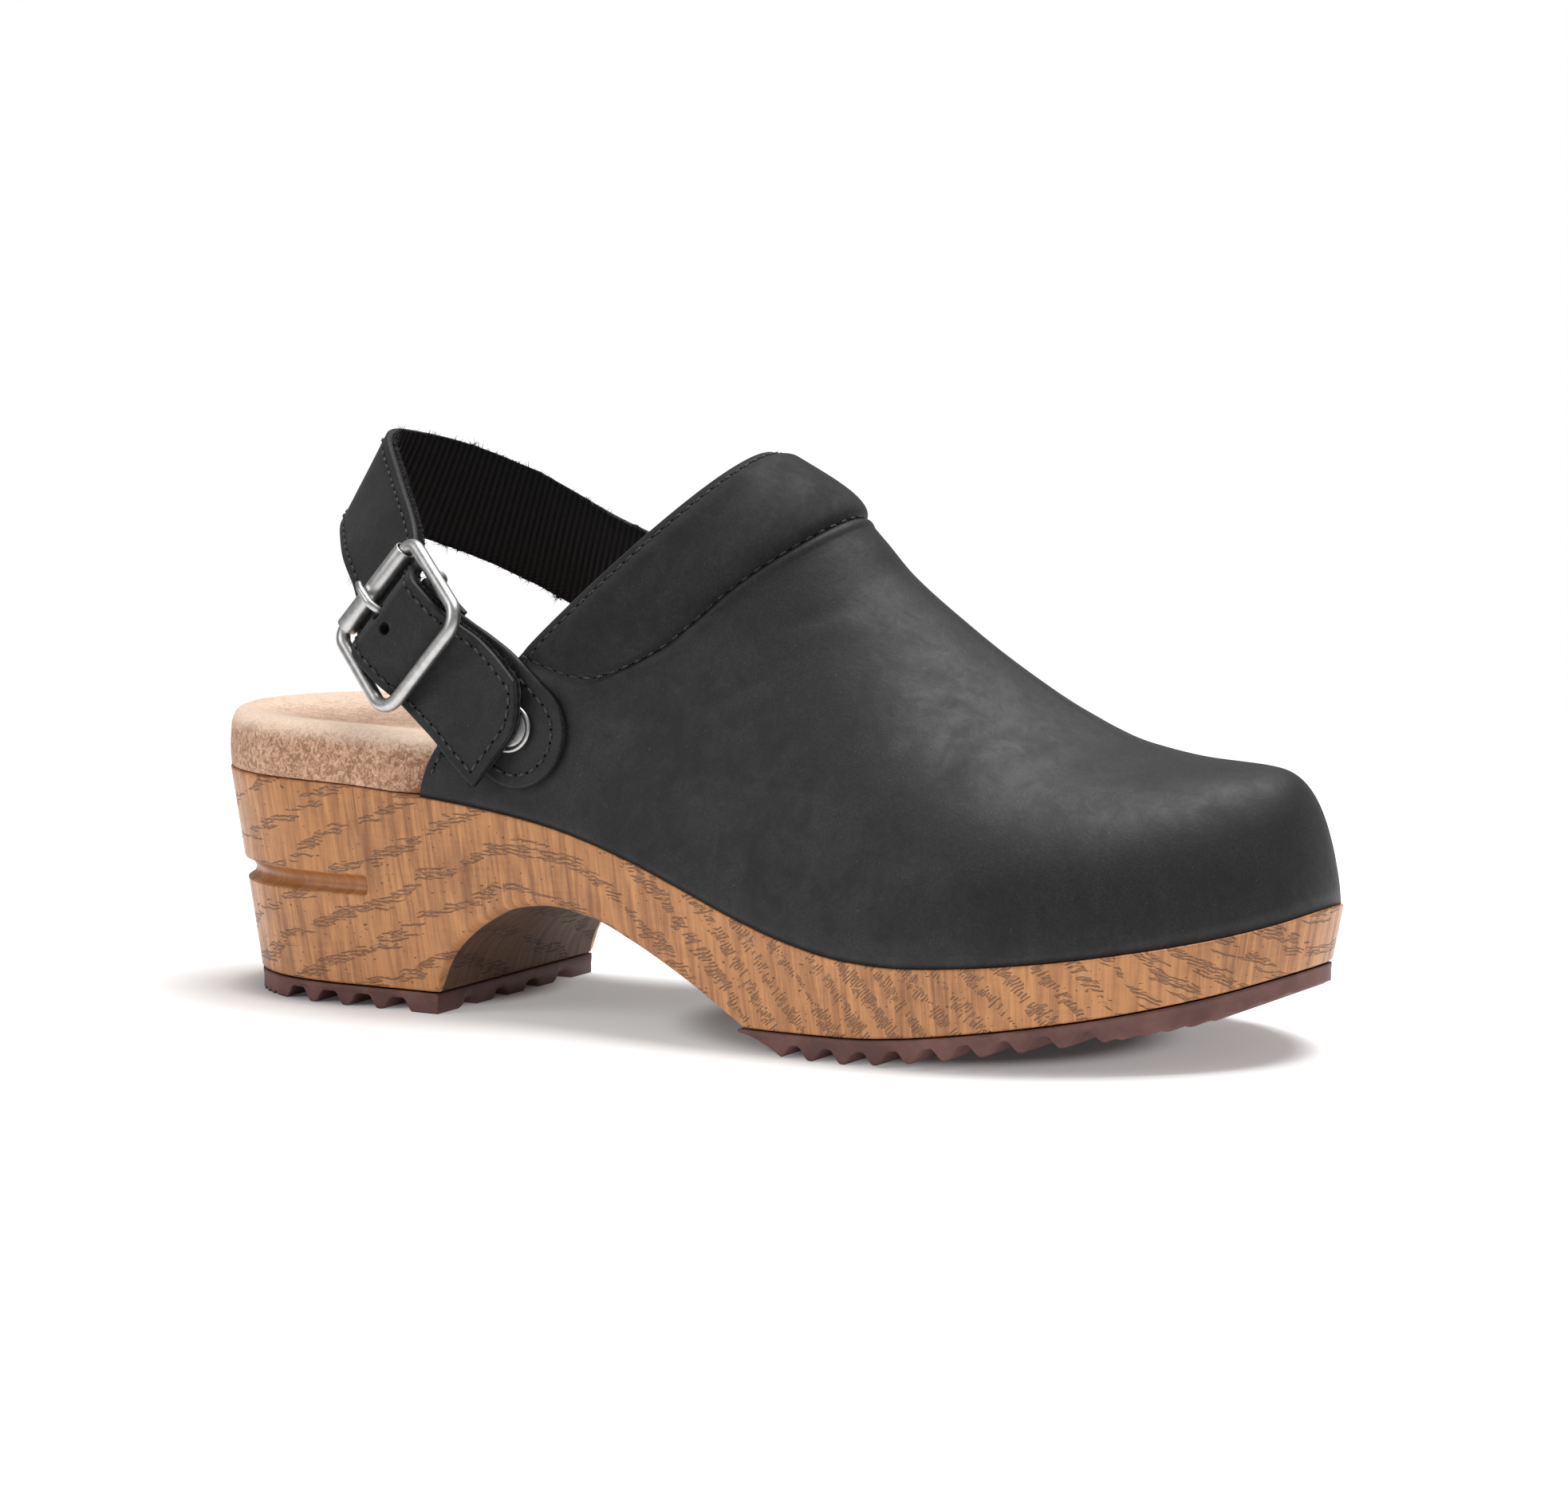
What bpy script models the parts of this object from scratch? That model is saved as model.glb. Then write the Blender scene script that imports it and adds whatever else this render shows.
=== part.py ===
"""Slingback platform clog, the right shoe: a wood-look unit sole with an open arch, studded
rubber treads, a suede footbed, a one-piece leather upper with a padded collar, and a heel
strap that runs through a roller buckle."""

import math

import bmesh
import bpy
import numpy as np
from mathutils import Vector

MM = 0.001  # every size and table below is in millimetres

# Driving sizes: x runs from the heel's back to the toe, -y is the outer side of the foot
LENGTH = 250.2
CLEARANCE = 0.3
WALL = 2.2
HEEL_ROUND, HEEL_POWER = 34.0, 2.5
TOE_ROUND, TOE_POWER = 62.0, (2.35, 2.05)
HEEL_TAPER = 7.0
TOE_TAPER = 2.2
BREAST = 64.3
FOREFOOT_START = 141.5
CUTTER_REACH = 80.0
CUTTER_DROP = 5.0


def table(columns, *rows):
    """The columns of a table by name. The first column says where a row lies."""
    return dict(zip(columns.split(), np.array(rows, float).T))


# Top edge of the sole from above: how far its middle swings inwards, half its width, side taper
PLAN = table(
    "along swing half_width taper",
    (0, 0.0, 30.0, 2.6),
    (25, 0.0, 33.0, 2.6),
    (60, 0.0, 34.5, 2.6),
    (95, -0.5, 36.0, 2.4),
    (130, -1.5, 41.0, 2.0),
    (160, -0.5, 46.5, 1.8),
    (185, 1.0, 48.5, 1.8),
    (210, 3.5, 47.0, 1.8),
    (234, 5.5, 42.0, 1.8),
    (251, 6.5, 36.0, 1.8),
)

# Side view of the sole: underside of the tread, seam of rubber and wood, top of the wood
PROFILE = table(
    "along tread seam top",
    (0, 0.0, 4.6, 47.8),
    (40, 0.0, 4.6, 47.2),
    (62, 0.0, 4.6, 45.8),
    (76, 0.0, 4.6, 44.4),
    (90, 0.0, 4.6, 42.4),
    (112, 0.0, 4.6, 37.1),
    (126, 0.0, 4.7, 32.6),
    (140, 0.0, 5.0, 27.7),
    (155, 0.0, 5.2, 23.4),
    (168, 0.0, 5.4, 21.0),
    (178, 0.9, 6.1, 20.5),
    (192, 3.0, 7.8, 21.2),
    (208, 5.4, 10.1, 22.7),
    (223, 7.7, 12.7, 24.7),
    (236, 10.5, 15.6, 26.9),
    (246, 14.6, 18.6, 29.4),
    (251, 16.6, 20.2, 31.4),
)

# Opening between heel and forefoot, as the height of its roof along the shoe
ARCH = table(
    "along roof",
    (64.3, 4.6),
    (66.0, 9.4),
    (68.4, 13.4),
    (72.2, 17.2),
    (77.5, 20.9),
    (84.0, 23.9),
    (92.5, 25.0),
    (102.0, 23.8),
    (114.0, 19.6),
    (127.0, 13.6),
    (139.5, 7.0),
    (144.0, 4.4),
)

# Groove round the back of the heel
GROOVE_HEIGHT = 26.1
GROOVE_END = 47.5
GROOVE_RADIUS = 2.2
GROOVE_DEPTH = 1.8

# Studs of the tread: transverse grooves between them
HEEL_STUDS = {"first": 53.8, "pitch": -8.7, "count": 4, "mouth": 6.9, "root": 3.4, "depth": 2.8}
FOREFOOT_STUDS = {"first": 155.5, "pitch": 7.55, "count": 9, "mouth": 5.6, "root": 2.2, "depth": 2.6}
BREAST_NOTCHES = {"count": 4, "pitch": 13.0, "width": 6.0, "length": 9.0, "depth": 2.0}
TREAD_INSET = 0.25
BREAST_SETBACK = 0.4
# Ramp at the back of the forefoot tread: how long it is, its thin edge, and how hollow
TREAD_RAMP = {"length": 12.0, "edge": 0.6, "power": 0.5}

# Footbed: height of its rim over the wood, and how far its middle is dished
FOOTBED = table(
    "along rim dish",
    (0, 11.5, 2.0),
    (30, 11.8, 3.2),
    (60, 11.8, 2.6),
    (100, 10.0, 1.4),
    (150, 8.0, 1.0),
    (200, 7.0, 0.8),
    (251, 6.0, 0.4),
)
FOOTBED_ROUND = 4.0
FOOTBED_INSET = 4.2
FOOTBED_EDGE = 0.2
FOOTBED_STEP = 7.0
DISH_FADE = 24.0
UPPER_BACK = 54.5

# Sections of the upper's inside, each from the sole's edge ("foot") up to the ridge of the
# instep. Lean and crown are the powers of its side and top curves, slant the share of its
# side that leans in straight
UPPER = table(
    "foot ridge_x ridge_y ridge_z lean crown slant",
    (54.5, 122.5, 0.0, 114.8, 2.00, 2.10, 0),
    (69, 144.0, 0.8, 103.2, 2.00, 2.10, 0),
    (95, 155.2, 1.8, 91.5, 2.00, 2.15, 0),
    (120, 168.2, 2.8, 81.6, 2.00, 2.20, 0),
    (145, 181.2, 3.6, 72.9, 2.05, 2.30, 0),
    (170, 194.5, 4.4, 65.1, 2.05, 2.45, 0),
    (195, 208.0, 5.0, 59.1, 2.05, 2.65, 0.04),
    (218, 222.0, 5.6, 56.6, 2.15, 3.00, 0.12),
    (237, 231.5, 6.0, 56.2, 2.40, 3.60, 0.28),
    (251, 236.0, 6.5, 55.9, 2.60, 4.00, 0.38),
)
SEAM_FOOT = 69.0
BACK_CORNER = {"clip": 6.5, "rise": 0.22, "fade": 14.0}
COLLAR_PAD = 3.3
COLLAR_FOOT = 0.30, 0.44

# Heel strap, by its middle: the tail over the upper's side, the way through the buckle as
# places along and out of its plane, and the loop round the heel with its lean forward
STRAP_TAIL = ((84.9, 58.4), (80.2, 62.6), (74.0, 68.5))
STRAP_BUCKLE = ((-10.9, -3.7), (-5.2, 0.4), (0.3, 2.3), (4.5, 0.5), (8.2, -3.0), (10.9, -4.0))
STRAP_LOOP = table(
    "x y z lean tilt",
    (48.0, -23.6, 93.0, 44, -6),
    (40.6, -16.8, 99.4, 43, -2),
    (34.8, -9.5, 103.6, 38, 0),
    (29.0, 0.0, 108.0, 29, 0),
    (33.8, 9.8, 107.2, 26, 0),
    (43.5, 20.3, 102.6, 20, 0),
    (54.5, 28.6, 96.2, 17, -2),
    (66.0, 32.2, 89.8, 17, -6),
    (80.0, 33.2, 84.4, 17, -10),
)
STRAP_END = ((94.0, 79.8), (103.0, 76.9))
STRAP_WIDTH = 22.4
STRAP_SHIFT = -0.3
STRAP_THICKNESS = 2.6
TAIL_CLIP = 7.0
END_LEAN, END_TILT = 17.0, -14.0
# Where strap and tab come to rest on the upper's side, from a first to a last x
TAIL_REST, END_REST, TAB_REST = (72, 79), (76, 88), (69, 77)

# Buckle: its plane's centre, and the directions along the strap, across it and outwards
BUCKLE_CENTRE = Vector((57.7, -36.5, 82.0))
BUCKLE_ALONG = Vector((-0.70, 0.372, 0.609)).normalized()
BUCKLE_ACROSS = Vector((0.60, 0.02, 0.786))
BUCKLE_ACROSS = (BUCKLE_ACROSS - BUCKLE_ACROSS.dot(BUCKLE_ALONG) * BUCKLE_ALONG).normalized()
BUCKLE_OUT = BUCKLE_ACROSS.cross(BUCKLE_ALONG).normalized()
BUCKLE_LENGTH = 21.8
BUCKLE_FORWARD = 2.0  # the front bar lies this much farther from the centre than the rear one
BUCKLE_REAR, BUCKLE_FRONT = 27.6, 27.8
REAR_CORNER, FRONT_CORNER = 2.6, 4.6
WIRE_RADIUS = 1.4
BAR_RADIUS = 1.2
BAR_DROP = 3.0
ROLLER_BORE = 1.7
ROLLER_WALL = 0.4
PRONG_RADIUS = 0.9
PRONG_ACROSS = -1.2
PRONG_HOLE = 4.5
SPARE_HOLE = -0.8
HOLE_RADIUS = 1.9, 1.4

# Tab that carries the buckle: a fold round the centre bar, by its place along and out of the
# buckle's plane, then a flat run over the upper's side
TAB_FOLD = ((-6.5, -7.6), (-3.0, -6.5), (0.0, -5.7), (1.9, -4.9), (2.7, -3.0), (1.9, -1.2),
            (0.0, -0.6), (-3.0, -1.7), (-6.5, -4.2), (-10.9, -6.5))
TAB_RUN = ((76.0, 68.4), (81.0, 64.5), (85.0, 61.2), (90.0, 57.2), (94.5, 53.7))
SIDE_LEAN, SIDE_TILT = 38.0, 8.0
TAB_THICKNESS = 1.6
TAB_WIDTH = 22.4
TAB_SLOT = {"width": 3.2, "back": 5.0, "front": -4.5}

# Rivets through tab and upper, and through the strap's end and upper
RIVET_RADIUS = 5.5
RIVET_HEAD = 1.0
RIVET_EDGE = 0.35
RIVET_LATERAL = (84.5, 61.4)
RIVET_MEDIAL = (93.5, 80.0)

COLOURS = {
    "wood": ((0.36, 0.17, 0.055), 0.45, 0.0),
    "rubber": ((0.075, 0.025, 0.022), 0.6, 0.0),
    "suede": ((0.52, 0.32, 0.19), 0.9, 0.0),
    "leather": ((0.022, 0.022, 0.024), 0.7, 0.0),
    "steel": ((0.55, 0.54, 0.52), 0.3, 1.0),
}


def at(rows, column, place):
    """A column's value at any place, by a cubic through the rows that never overshoots them."""
    x = next(iter(rows.values()))
    y = rows[column]
    step = np.diff(x)
    rise = np.diff(y) / step
    near = 2 * step[1:] + step[:-1]
    far = step[1:] + 2 * step[:-1]
    same = rise[1:] * rise[:-1] > 0
    safe = np.where(same, rise[1:] * rise[:-1], 1.0)
    mean = (near + far) * safe / np.where(same, near * rise[1:] + far * rise[:-1], 1.0)
    slope = np.concatenate([rise[:1], np.where(same, mean, 0.0), rise[-1:]])
    place = np.clip(np.asarray(place, float), x[0], x[-1])
    k = np.clip(np.searchsorted(x, place, side="right") - 1, 0, len(step) - 1)
    s = (place - x[k]) / step[k]
    start = y[k] * (1 + 2 * s) * (1 - s) ** 2 + y[k + 1] * s**2 * (3 - 2 * s)
    return start + step[k] * s * (1 - s) * (slope[k] * (1 - s) - slope[k + 1] * s)


def blend(low, high, value):
    """0 below low, 1 above high, and a smooth rise between."""
    s = np.clip((np.asarray(value, float) - low) / (high - low), 0, 1)
    return s * s * (3 - 2 * s)


def ends(level=1.0, inset=0.0):
    """The x of the sole's back and front at a level."""
    return HEEL_TAPER * (1 - level) + inset, LENGTH - TOE_TAPER * (1 - level) - inset


def plan(x, level=1.0, inset=0.0):
    """The y of the sole's lateral and medial edges at x, at a level from 0, wood's foot, to 1."""
    back, front = ends(level, inset)
    heel = np.clip(1 - (x - back) / HEEL_ROUND, 0, 1) ** HEEL_POWER
    toe = np.clip(1 - (front - x) / TOE_ROUND, 0, 1)
    half = at(PLAN, "half_width", x) - at(PLAN, "taper", x) * (1 - level) - inset
    half = half * (1 - heel) ** (1 / HEEL_POWER)
    lateral, medial = (half * (1 - toe**power) ** (1 / power) for power in TOE_POWER)
    middle = at(PLAN, "swing", x)
    return middle - lateral, middle + medial


def collection_of(name):
    made = bpy.data.collections.new(name)
    bpy.context.scene.collection.children.link(made)
    return made


def material_of(name):
    colour, roughness, metallic = COLOURS[name]
    made = bpy.data.materials.new(name)
    made.use_nodes = True
    shader = made.node_tree.nodes["Principled BSDF"]
    shader.inputs["Base Color"].default_value = (*colour, 1)
    shader.inputs["Roughness"].default_value = roughness
    shader.inputs["Metallic"].default_value = metallic
    return made


def add_mesh(name, mesh, where, smooth=True):
    """Puts a closed or open mesh in a collection, with its faces turned outwards."""
    shape = bmesh.new()
    shape.from_mesh(mesh)
    bmesh.ops.remove_doubles(shape, verts=shape.verts, dist=1e-6)
    bmesh.ops.dissolve_degenerate(shape, edges=shape.edges, dist=1e-7)
    bmesh.ops.recalc_face_normals(shape, faces=shape.faces)
    if shape.calc_volume(signed=True) < 0:
        bmesh.ops.reverse_faces(shape, faces=shape.faces)
    shape.to_mesh(mesh)
    shape.free()
    mesh.polygons.foreach_set("use_smooth", [smooth] * len(mesh.polygons))
    made = bpy.data.objects.new(name, mesh)
    where.objects.link(made)
    return made


def grid_faces(rows, columns, closed=False):
    """Quads between neighbours of a grid of points, closed across its columns or not."""
    i, j = np.meshgrid(np.arange(rows - 1), np.arange(columns - (not closed)), indexing="ij")
    k = (j + 1) % columns
    quads = [i * columns + j, (i + 1) * columns + j, (i + 1) * columns + k, i * columns + k]
    return np.stack(quads, axis=-1).reshape(-1, 4).tolist()


def loft(name, rings, where, caps=(False, False), smooth=True):
    """A solid through closed rings of points. An end ring that is no line or point gets a cap."""
    count, size = rings.shape[:2]
    faces = grid_faces(count, size, closed=True)
    if caps[0]:
        faces.append(list(range(size)))
    if caps[1]:
        faces.append(list(range((count - 1) * size, count * size)))
    mesh = bpy.data.meshes.new(name)
    mesh.from_pydata((rings.reshape(-1, 3) * MM).tolist(), [], faces)
    return add_mesh(name, mesh, where, smooth)


def sheet(name, points, where, thickness, offset, weights=None, closed=False):
    """A grid of points made solid. Weights are shares of the thickness at each point."""
    mesh = bpy.data.meshes.new(name)
    flat = points.reshape(-1, 3)
    mesh.from_pydata((flat * MM).tolist(), [], grid_faces(*points.shape[:2], closed))
    made = bpy.data.objects.new(name, mesh)
    solid = made.modifiers.new("thickness", "SOLIDIFY")
    solid.thickness = thickness * MM
    solid.offset = offset
    solid.use_even_offset = weights is None
    if weights is not None:
        group = made.vertex_groups.new(name="thickness")
        for index, weight in enumerate(weights.reshape(-1)):
            group.add([index], float(weight), "REPLACE")
        solid.vertex_group = group.name
    mesh.polygons.foreach_set("use_smooth", [True] * len(mesh.polygons))
    where.objects.link(made)
    return made


def tube(name, points, radius, where, cyclic=False, sides=3):
    """A round wire along points."""
    curve = bpy.data.curves.new(name, "CURVE")
    curve.dimensions = "3D"
    curve.bevel_depth = radius * MM
    curve.bevel_resolution = sides
    curve.use_fill_caps = not cyclic
    spline = curve.splines.new("POLY")
    spline.points.add(len(points) - 1)
    for place, point in zip(spline.points, points):
        place.co = (*(np.asarray(point) * MM), 1)
    spline.use_cyclic_u = cyclic
    holder = bpy.data.objects.new(name + "_path", curve)
    bpy.context.scene.collection.objects.link(holder)
    bpy.context.view_layer.update()
    graph = bpy.context.evaluated_depsgraph_get()
    mesh = bpy.data.meshes.new_from_object(holder.evaluated_get(graph))
    mesh.name = name
    bpy.data.objects.remove(holder)
    return add_mesh(name, mesh, where)


def cut(target, cutter, operation="DIFFERENCE"):
    boolean = target.modifiers.new(cutter.name, "BOOLEAN")
    boolean.object = cutter
    boolean.operation = operation
    boolean.solver = "EXACT"
    cutter.hide_render = True
    cutter.display_type = "WIRE"


def prism(name, outline, reach, where, across="y"):
    """A prism with a flat outline of (x, z), or (y, z), that reaches both ways across it."""
    low = [(a, -reach, b) if across == "y" else (-reach, a, b) for a, b in outline]
    high = [(a, reach, b) if across == "y" else (reach, a, b) for a, b in outline]
    return loft(name, np.array([low, high]), where, (True, True), smooth=False)


def side_ring(x, levels, heights, across, inset=0.0):
    """One closed ring of a sole section: up the lateral side, over, down and back below."""
    lateral, medial = [], []
    for level, height in zip(levels, heights):
        back, front = ends(level, inset)
        place = back + (front - back) * x
        y = plan(place, level, inset)
        lateral.append((place, y[0], height(place)))
        medial.append((place, y[1], height(place)))
    top = [np.array(lateral[-1]) * (1 - s) + np.array(medial[-1]) * s for s in across]
    foot = [np.array(medial[0]) * (1 - s) + np.array(lateral[0]) * s for s in across]
    return np.array([*lateral, *top, *medial[::-1], *foot])


def share(count):
    """Places from 0 to 1 along the sole, closer together at its round ends."""
    return (1 - np.cos(np.linspace(0, math.pi, count))) / 2


def build_sole_unit(where, cutters):
    levels = np.linspace(0, 1, 5)

    def height(level):
        return lambda x: at(PROFILE, "seam", x) * (1 - level) + at(PROFILE, "top", x) * level

    heights = [height(level) for level in levels]
    rings = [side_ring(x, levels, heights, (0.25, 0.5, 0.75)) for x in share(45)]
    sole = loft("sole_unit", np.array(rings), where)

    roof = np.linspace(ARCH["along"][0], ARCH["along"][-1], 41)
    roof = ARCH["along"][0] + (roof - roof[0]) * ((roof - roof[0]) / (roof[-1] - roof[0])) ** 0.6
    outline = [*zip(roof, at(ARCH, "roof", roof)), (roof[-1], -CUTTER_DROP), (roof[0], -CUTTER_DROP)]
    cut(sole, prism("arch_cutter", outline, CUTTER_REACH, cutters))

    seam, top = (float(at(PROFILE, name, 0.0)) for name in ("seam", "top"))
    level = (GROOVE_HEIGHT - seam) / (top - seam)
    inset = GROOVE_DEPTH - GROOVE_RADIUS
    back, _ = ends(level, inset)
    turn = np.linspace(0, math.pi / 2, 14)
    x = np.maximum(back + (GROOVE_END - back) * (1 - np.sin(turn)), back + 0.001)
    lateral, medial = plan(x, level, inset)
    path = [(a, b, GROOVE_HEIGHT) for a, b in [*zip(x, lateral), *zip(x[::-1], medial[::-1])]]
    unique = [p for k, p in enumerate(path) if k == 0 or math.dist(p, path[k - 1]) > 0.5]
    cut(sole, tube("groove_cutter", unique, GROOVE_RADIUS, cutters, sides=2))
    return sole


def stud_grooves(name, sizes, where):
    """Trapezoid grooves across the tread, joined in one cutter."""
    shapes = []
    for k in range(sizes["count"]):
        x = sizes["first"] + k * sizes["pitch"]
        z = float(at(PROFILE, "tread", x))
        mouth, root = sizes["mouth"] / 2, sizes["root"] / 2
        flare = mouth + (mouth - root) * CUTTER_DROP / sizes["depth"]
        profile = [(x - root, z + sizes["depth"]), (x - flare, z - CUTTER_DROP)]
        profile += [(x + flare, z - CUTTER_DROP), (x + root, z + sizes["depth"])]
        shapes.append([[(a, y, b) for a, b in profile] for y in (-CUTTER_REACH, CUTTER_REACH)])
    points = np.array(shapes).reshape(-1, 3) * MM
    faces = []
    for k in range(sizes["count"]):
        faces += [[8 * k + n for n in face] for face in
                  ((0, 1, 2, 3), (4, 5, 6, 7), (0, 1, 5, 4), (1, 2, 6, 5), (2, 3, 7, 6), (3, 0, 4, 7))]
    mesh = bpy.data.meshes.new(name)
    mesh.from_pydata(points.tolist(), [], faces)
    return add_mesh(name, mesh, where, smooth=False)


def tread_rings(places, ramp_end=None):
    """Rings of a rubber tread: its top lies under the wood, its foot on the floor line."""
    rings = []
    for x in places:
        y = plan(x, 0.0, TREAD_INSET)
        low, high = float(at(PROFILE, "tread", x)), float(at(PROFILE, "seam", x)) - CLEARANCE
        if ramp_end is not None:
            short = 1 - blend(ramp_end - TREAD_RAMP["length"], ramp_end, x)
            low = low + (high - TREAD_RAMP["edge"] - low) * short ** TREAD_RAMP["power"]
        middle = [(x, y[0] + (y[1] - y[0]) * s) for s in (0.25, 0.5, 0.75)]
        ring = [(x, y[0], low), (x, y[0], high), *[(a, b, high) for a, b in middle]]
        ring += [(x, y[1], high), (x, y[1], low), *[(a, b, low) for a, b in middle[::-1]]]
        rings.append(ring)
    return np.array(rings, float)


def build_treads(where, cutters):
    back, front = ends(0.0, TREAD_INSET)
    quarter = np.linspace(0, math.pi / 2, 15)
    heel_x = back + (BREAST - BREAST_SETBACK - back) * (1 - np.cos(quarter))
    heel = loft("tread_heel", tread_rings(heel_x), where, (False, True), smooth=False)
    cut(heel, stud_grooves("heel_stud_cutter", HEEL_STUDS, cutters))
    for k in range(BREAST_NOTCHES["count"]):
        y = (k - (BREAST_NOTCHES["count"] - 1) / 2) * BREAST_NOTCHES["pitch"]
        half, depth = BREAST_NOTCHES["width"] / 2, BREAST_NOTCHES["depth"]
        outline = [(y - half, -1.0), (y - half * 0.5, depth), (y + half * 0.5, depth), (y + half, -1.0)]
        notch = prism(f"breast_notch_cutter_{k}", outline, BREAST_NOTCHES["length"] / 2, cutters, "x")
        notch.location.x = BREAST * MM
        cut(heel, notch)

    fore_x = FOREFOOT_START + (front - FOREFOOT_START) * np.sin(np.linspace(0, math.pi / 2, 33))
    ramp_end = FOREFOOT_START + TREAD_RAMP["length"] - 1
    fore = loft("tread_forefoot", tread_rings(fore_x, ramp_end), where, (True, False), smooth=False)
    cut(fore, stud_grooves("forefoot_stud_cutter", FOREFOOT_STUDS, cutters))
    return heel, fore


def build_footbed(where):
    """A pad flush with the wood at the heel, and clear of the upper's inside in front of it."""
    turn = np.linspace(0, math.pi / 2, 4)
    across = np.linspace(-1, 1, 9)
    rings = []
    for s in share(41):
        points = []
        inset = FOOTBED_EDGE + FOOTBED_INSET * blend(UPPER_BACK, UPPER_BACK + FOOTBED_STEP, LENGTH * s)
        back, front = ends(1.0, inset)
        x = back + (front - back) * s
        foot = at(PROFILE, "top", x) + CLEARANCE
        rim, dish = at(FOOTBED, "rim", x), at(FOOTBED, "dish", x)
        lateral, medial = plan(x, 1.0, inset)
        half, middle = (medial - lateral) / 2, (medial + lateral) / 2
        round_in = min(FOOTBED_ROUND, half * 0.5)
        dish = dish * blend(0, DISH_FADE, half)
        side = [(half, foot), (half, foot + rim - FOOTBED_ROUND)]
        side += [(half - round_in * (1 - math.cos(a)), foot + rim - FOOTBED_ROUND * (1 - math.sin(a)))
                 for a in turn[1:]]
        flat = side[-1][0]
        points += [(x, middle - y, z) for y, z in side]
        points += [(x, middle + flat * c, foot + rim - dish * (1 - c**2) ** 2) for c in across[1:-1]]
        points += [(x, middle + y, z) for y, z in side[::-1]]
        points.append((x, middle, foot))
        rings.append(points)
    return loft("footbed", np.array(rings, float), where)


def upper_inside(foot, rise):
    """Inside of the upper on both halves: foot runs along the sole, rise from 0, edge, to 1, ridge."""
    angle = rise[None, :] * math.pi / 2
    values = {name: at(UPPER, name, foot)[:, None] for name in UPPER if name != "foot"}
    inward = 1 - np.cos(angle) ** (2 / values["lean"])
    upward = np.sin(angle) ** (2 / values["crown"])
    inward = inward + (upward - inward) * values["slant"]
    front = LENGTH - WALL
    place = UPPER_BACK + (foot - UPPER_BACK) * (front - UPPER_BACK) / (LENGTH - UPPER_BACK)
    sole = np.maximum(at(PROFILE, "top", place), at(PROFILE, "top", foot)) + CLEARANCE
    fan = blend(90, 235, foot)[:, None]
    forward = upward * (1 - fan) + inward * fan
    low = np.clip(1 - upward / BACK_CORNER["rise"], 0, 1) ** 2
    clip = BACK_CORNER["clip"] * low * np.exp(-(foot - foot[0]) / BACK_CORNER["fade"])[:, None]
    halves = []
    for edge in plan(place, 1.0, WALL):
        x = place[:, None] + (values["ridge_x"] - place[:, None]) * forward + clip
        y = edge[:, None] + (values["ridge_y"] - edge[:, None]) * inward
        z = sole[:, None] + (values["ridge_z"] - sole[:, None]) * upward
        halves.append(np.stack([x, y, z], axis=-1))
    return halves


def collar_pad(foot, rise):
    """Share of the collar's padding: a pillow between the topline and its seam, round at its foot."""
    across = np.clip((foot - UPPER["foot"][0]) / (SEAM_FOOT - UPPER["foot"][0]), 0, 1)
    pillow = np.sin(math.pi * np.clip(0.05 + 0.95 * across, 0, 1)) ** 0.45
    low = blend(*COLLAR_FOOT, rise)
    return pillow[:, None] * low[None, :]


def upper_grid():
    """The upper's inside as one grid from lateral edge over the ridge to medial edge."""
    collar = np.linspace(UPPER_BACK, SEAM_FOOT, 7)[:-1]
    foot = SEAM_FOOT + (LENGTH - SEAM_FOOT) * np.sin(np.linspace(0, math.pi / 2, 22))
    foot = np.concatenate([collar, foot])
    rise = np.linspace(0, 1, 15)
    lateral, medial = upper_inside(foot, rise)
    pad = collar_pad(foot, rise)
    points = np.concatenate([lateral, medial[:, -2::-1]], axis=1)
    pads = np.concatenate([pad, pad[:, -2::-1]], axis=1)
    return points, WALL + COLLAR_PAD * pads


def build_upper(where):
    points, wall = upper_grid()
    most = WALL + COLLAR_PAD
    upper = sheet("upper", points, where, most, 1.0, wall / most)
    shape = bmesh.new()
    shape.from_mesh(upper.data)
    bmesh.ops.remove_doubles(shape, verts=shape.verts, dist=1e-6)
    bmesh.ops.recalc_face_normals(shape, faces=shape.faces)
    top = max(shape.faces, key=lambda face: face.calc_center_median().z)
    if top.normal.z < 0:
        bmesh.ops.reverse_faces(shape, faces=shape.faces)
    shape.to_mesh(upper.data)
    shape.free()
    return upper


def upper_outside():
    """Outer face of the upper's wall, as a grid of points."""
    points, wall = upper_grid()
    along = np.gradient(points, axis=0)
    over = np.gradient(points, axis=1)
    normal = np.cross(along, over)
    normal /= np.maximum(np.linalg.norm(normal, axis=-1, keepdims=True), 1e-9)
    normal *= np.sign(normal[5, points.shape[1] // 2, 2])
    return points + normal * wall[..., None]


def wall_y(x, z, medial, outside):
    """The y of the upper's outer face at (x, z), by a plane through the points near there."""
    half = outside.shape[1] // 2
    skin = outside[:-4, half + 1:] if medial else outside[:-4, :half]
    skin = skin.reshape(-1, 3)
    gap = (skin[:, 0] - x) ** 2 + (skin[:, 2] - z) ** 2
    weight = np.exp(-gap / (2 * (4.0 + 0.6 * math.sqrt(gap.min())) ** 2))
    basis = np.stack([np.ones(len(skin)), skin[:, 0] - x, skin[:, 2] - z], axis=1)
    left = (basis * weight[:, None]).T @ basis + np.diag([0.0, 1e-6, 1e-6])
    return float(np.linalg.solve(left, (basis * weight[:, None]).T @ skin[:, 1])[0])


def leaning(lean, tilt):
    """The direction of a strap's width that leans forward and tilts sideways, in degrees."""
    lean, tilt = math.radians(lean), math.radians(tilt)
    return (math.sin(lean) * math.cos(tilt), math.sin(tilt), math.cos(lean) * math.cos(tilt))


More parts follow.
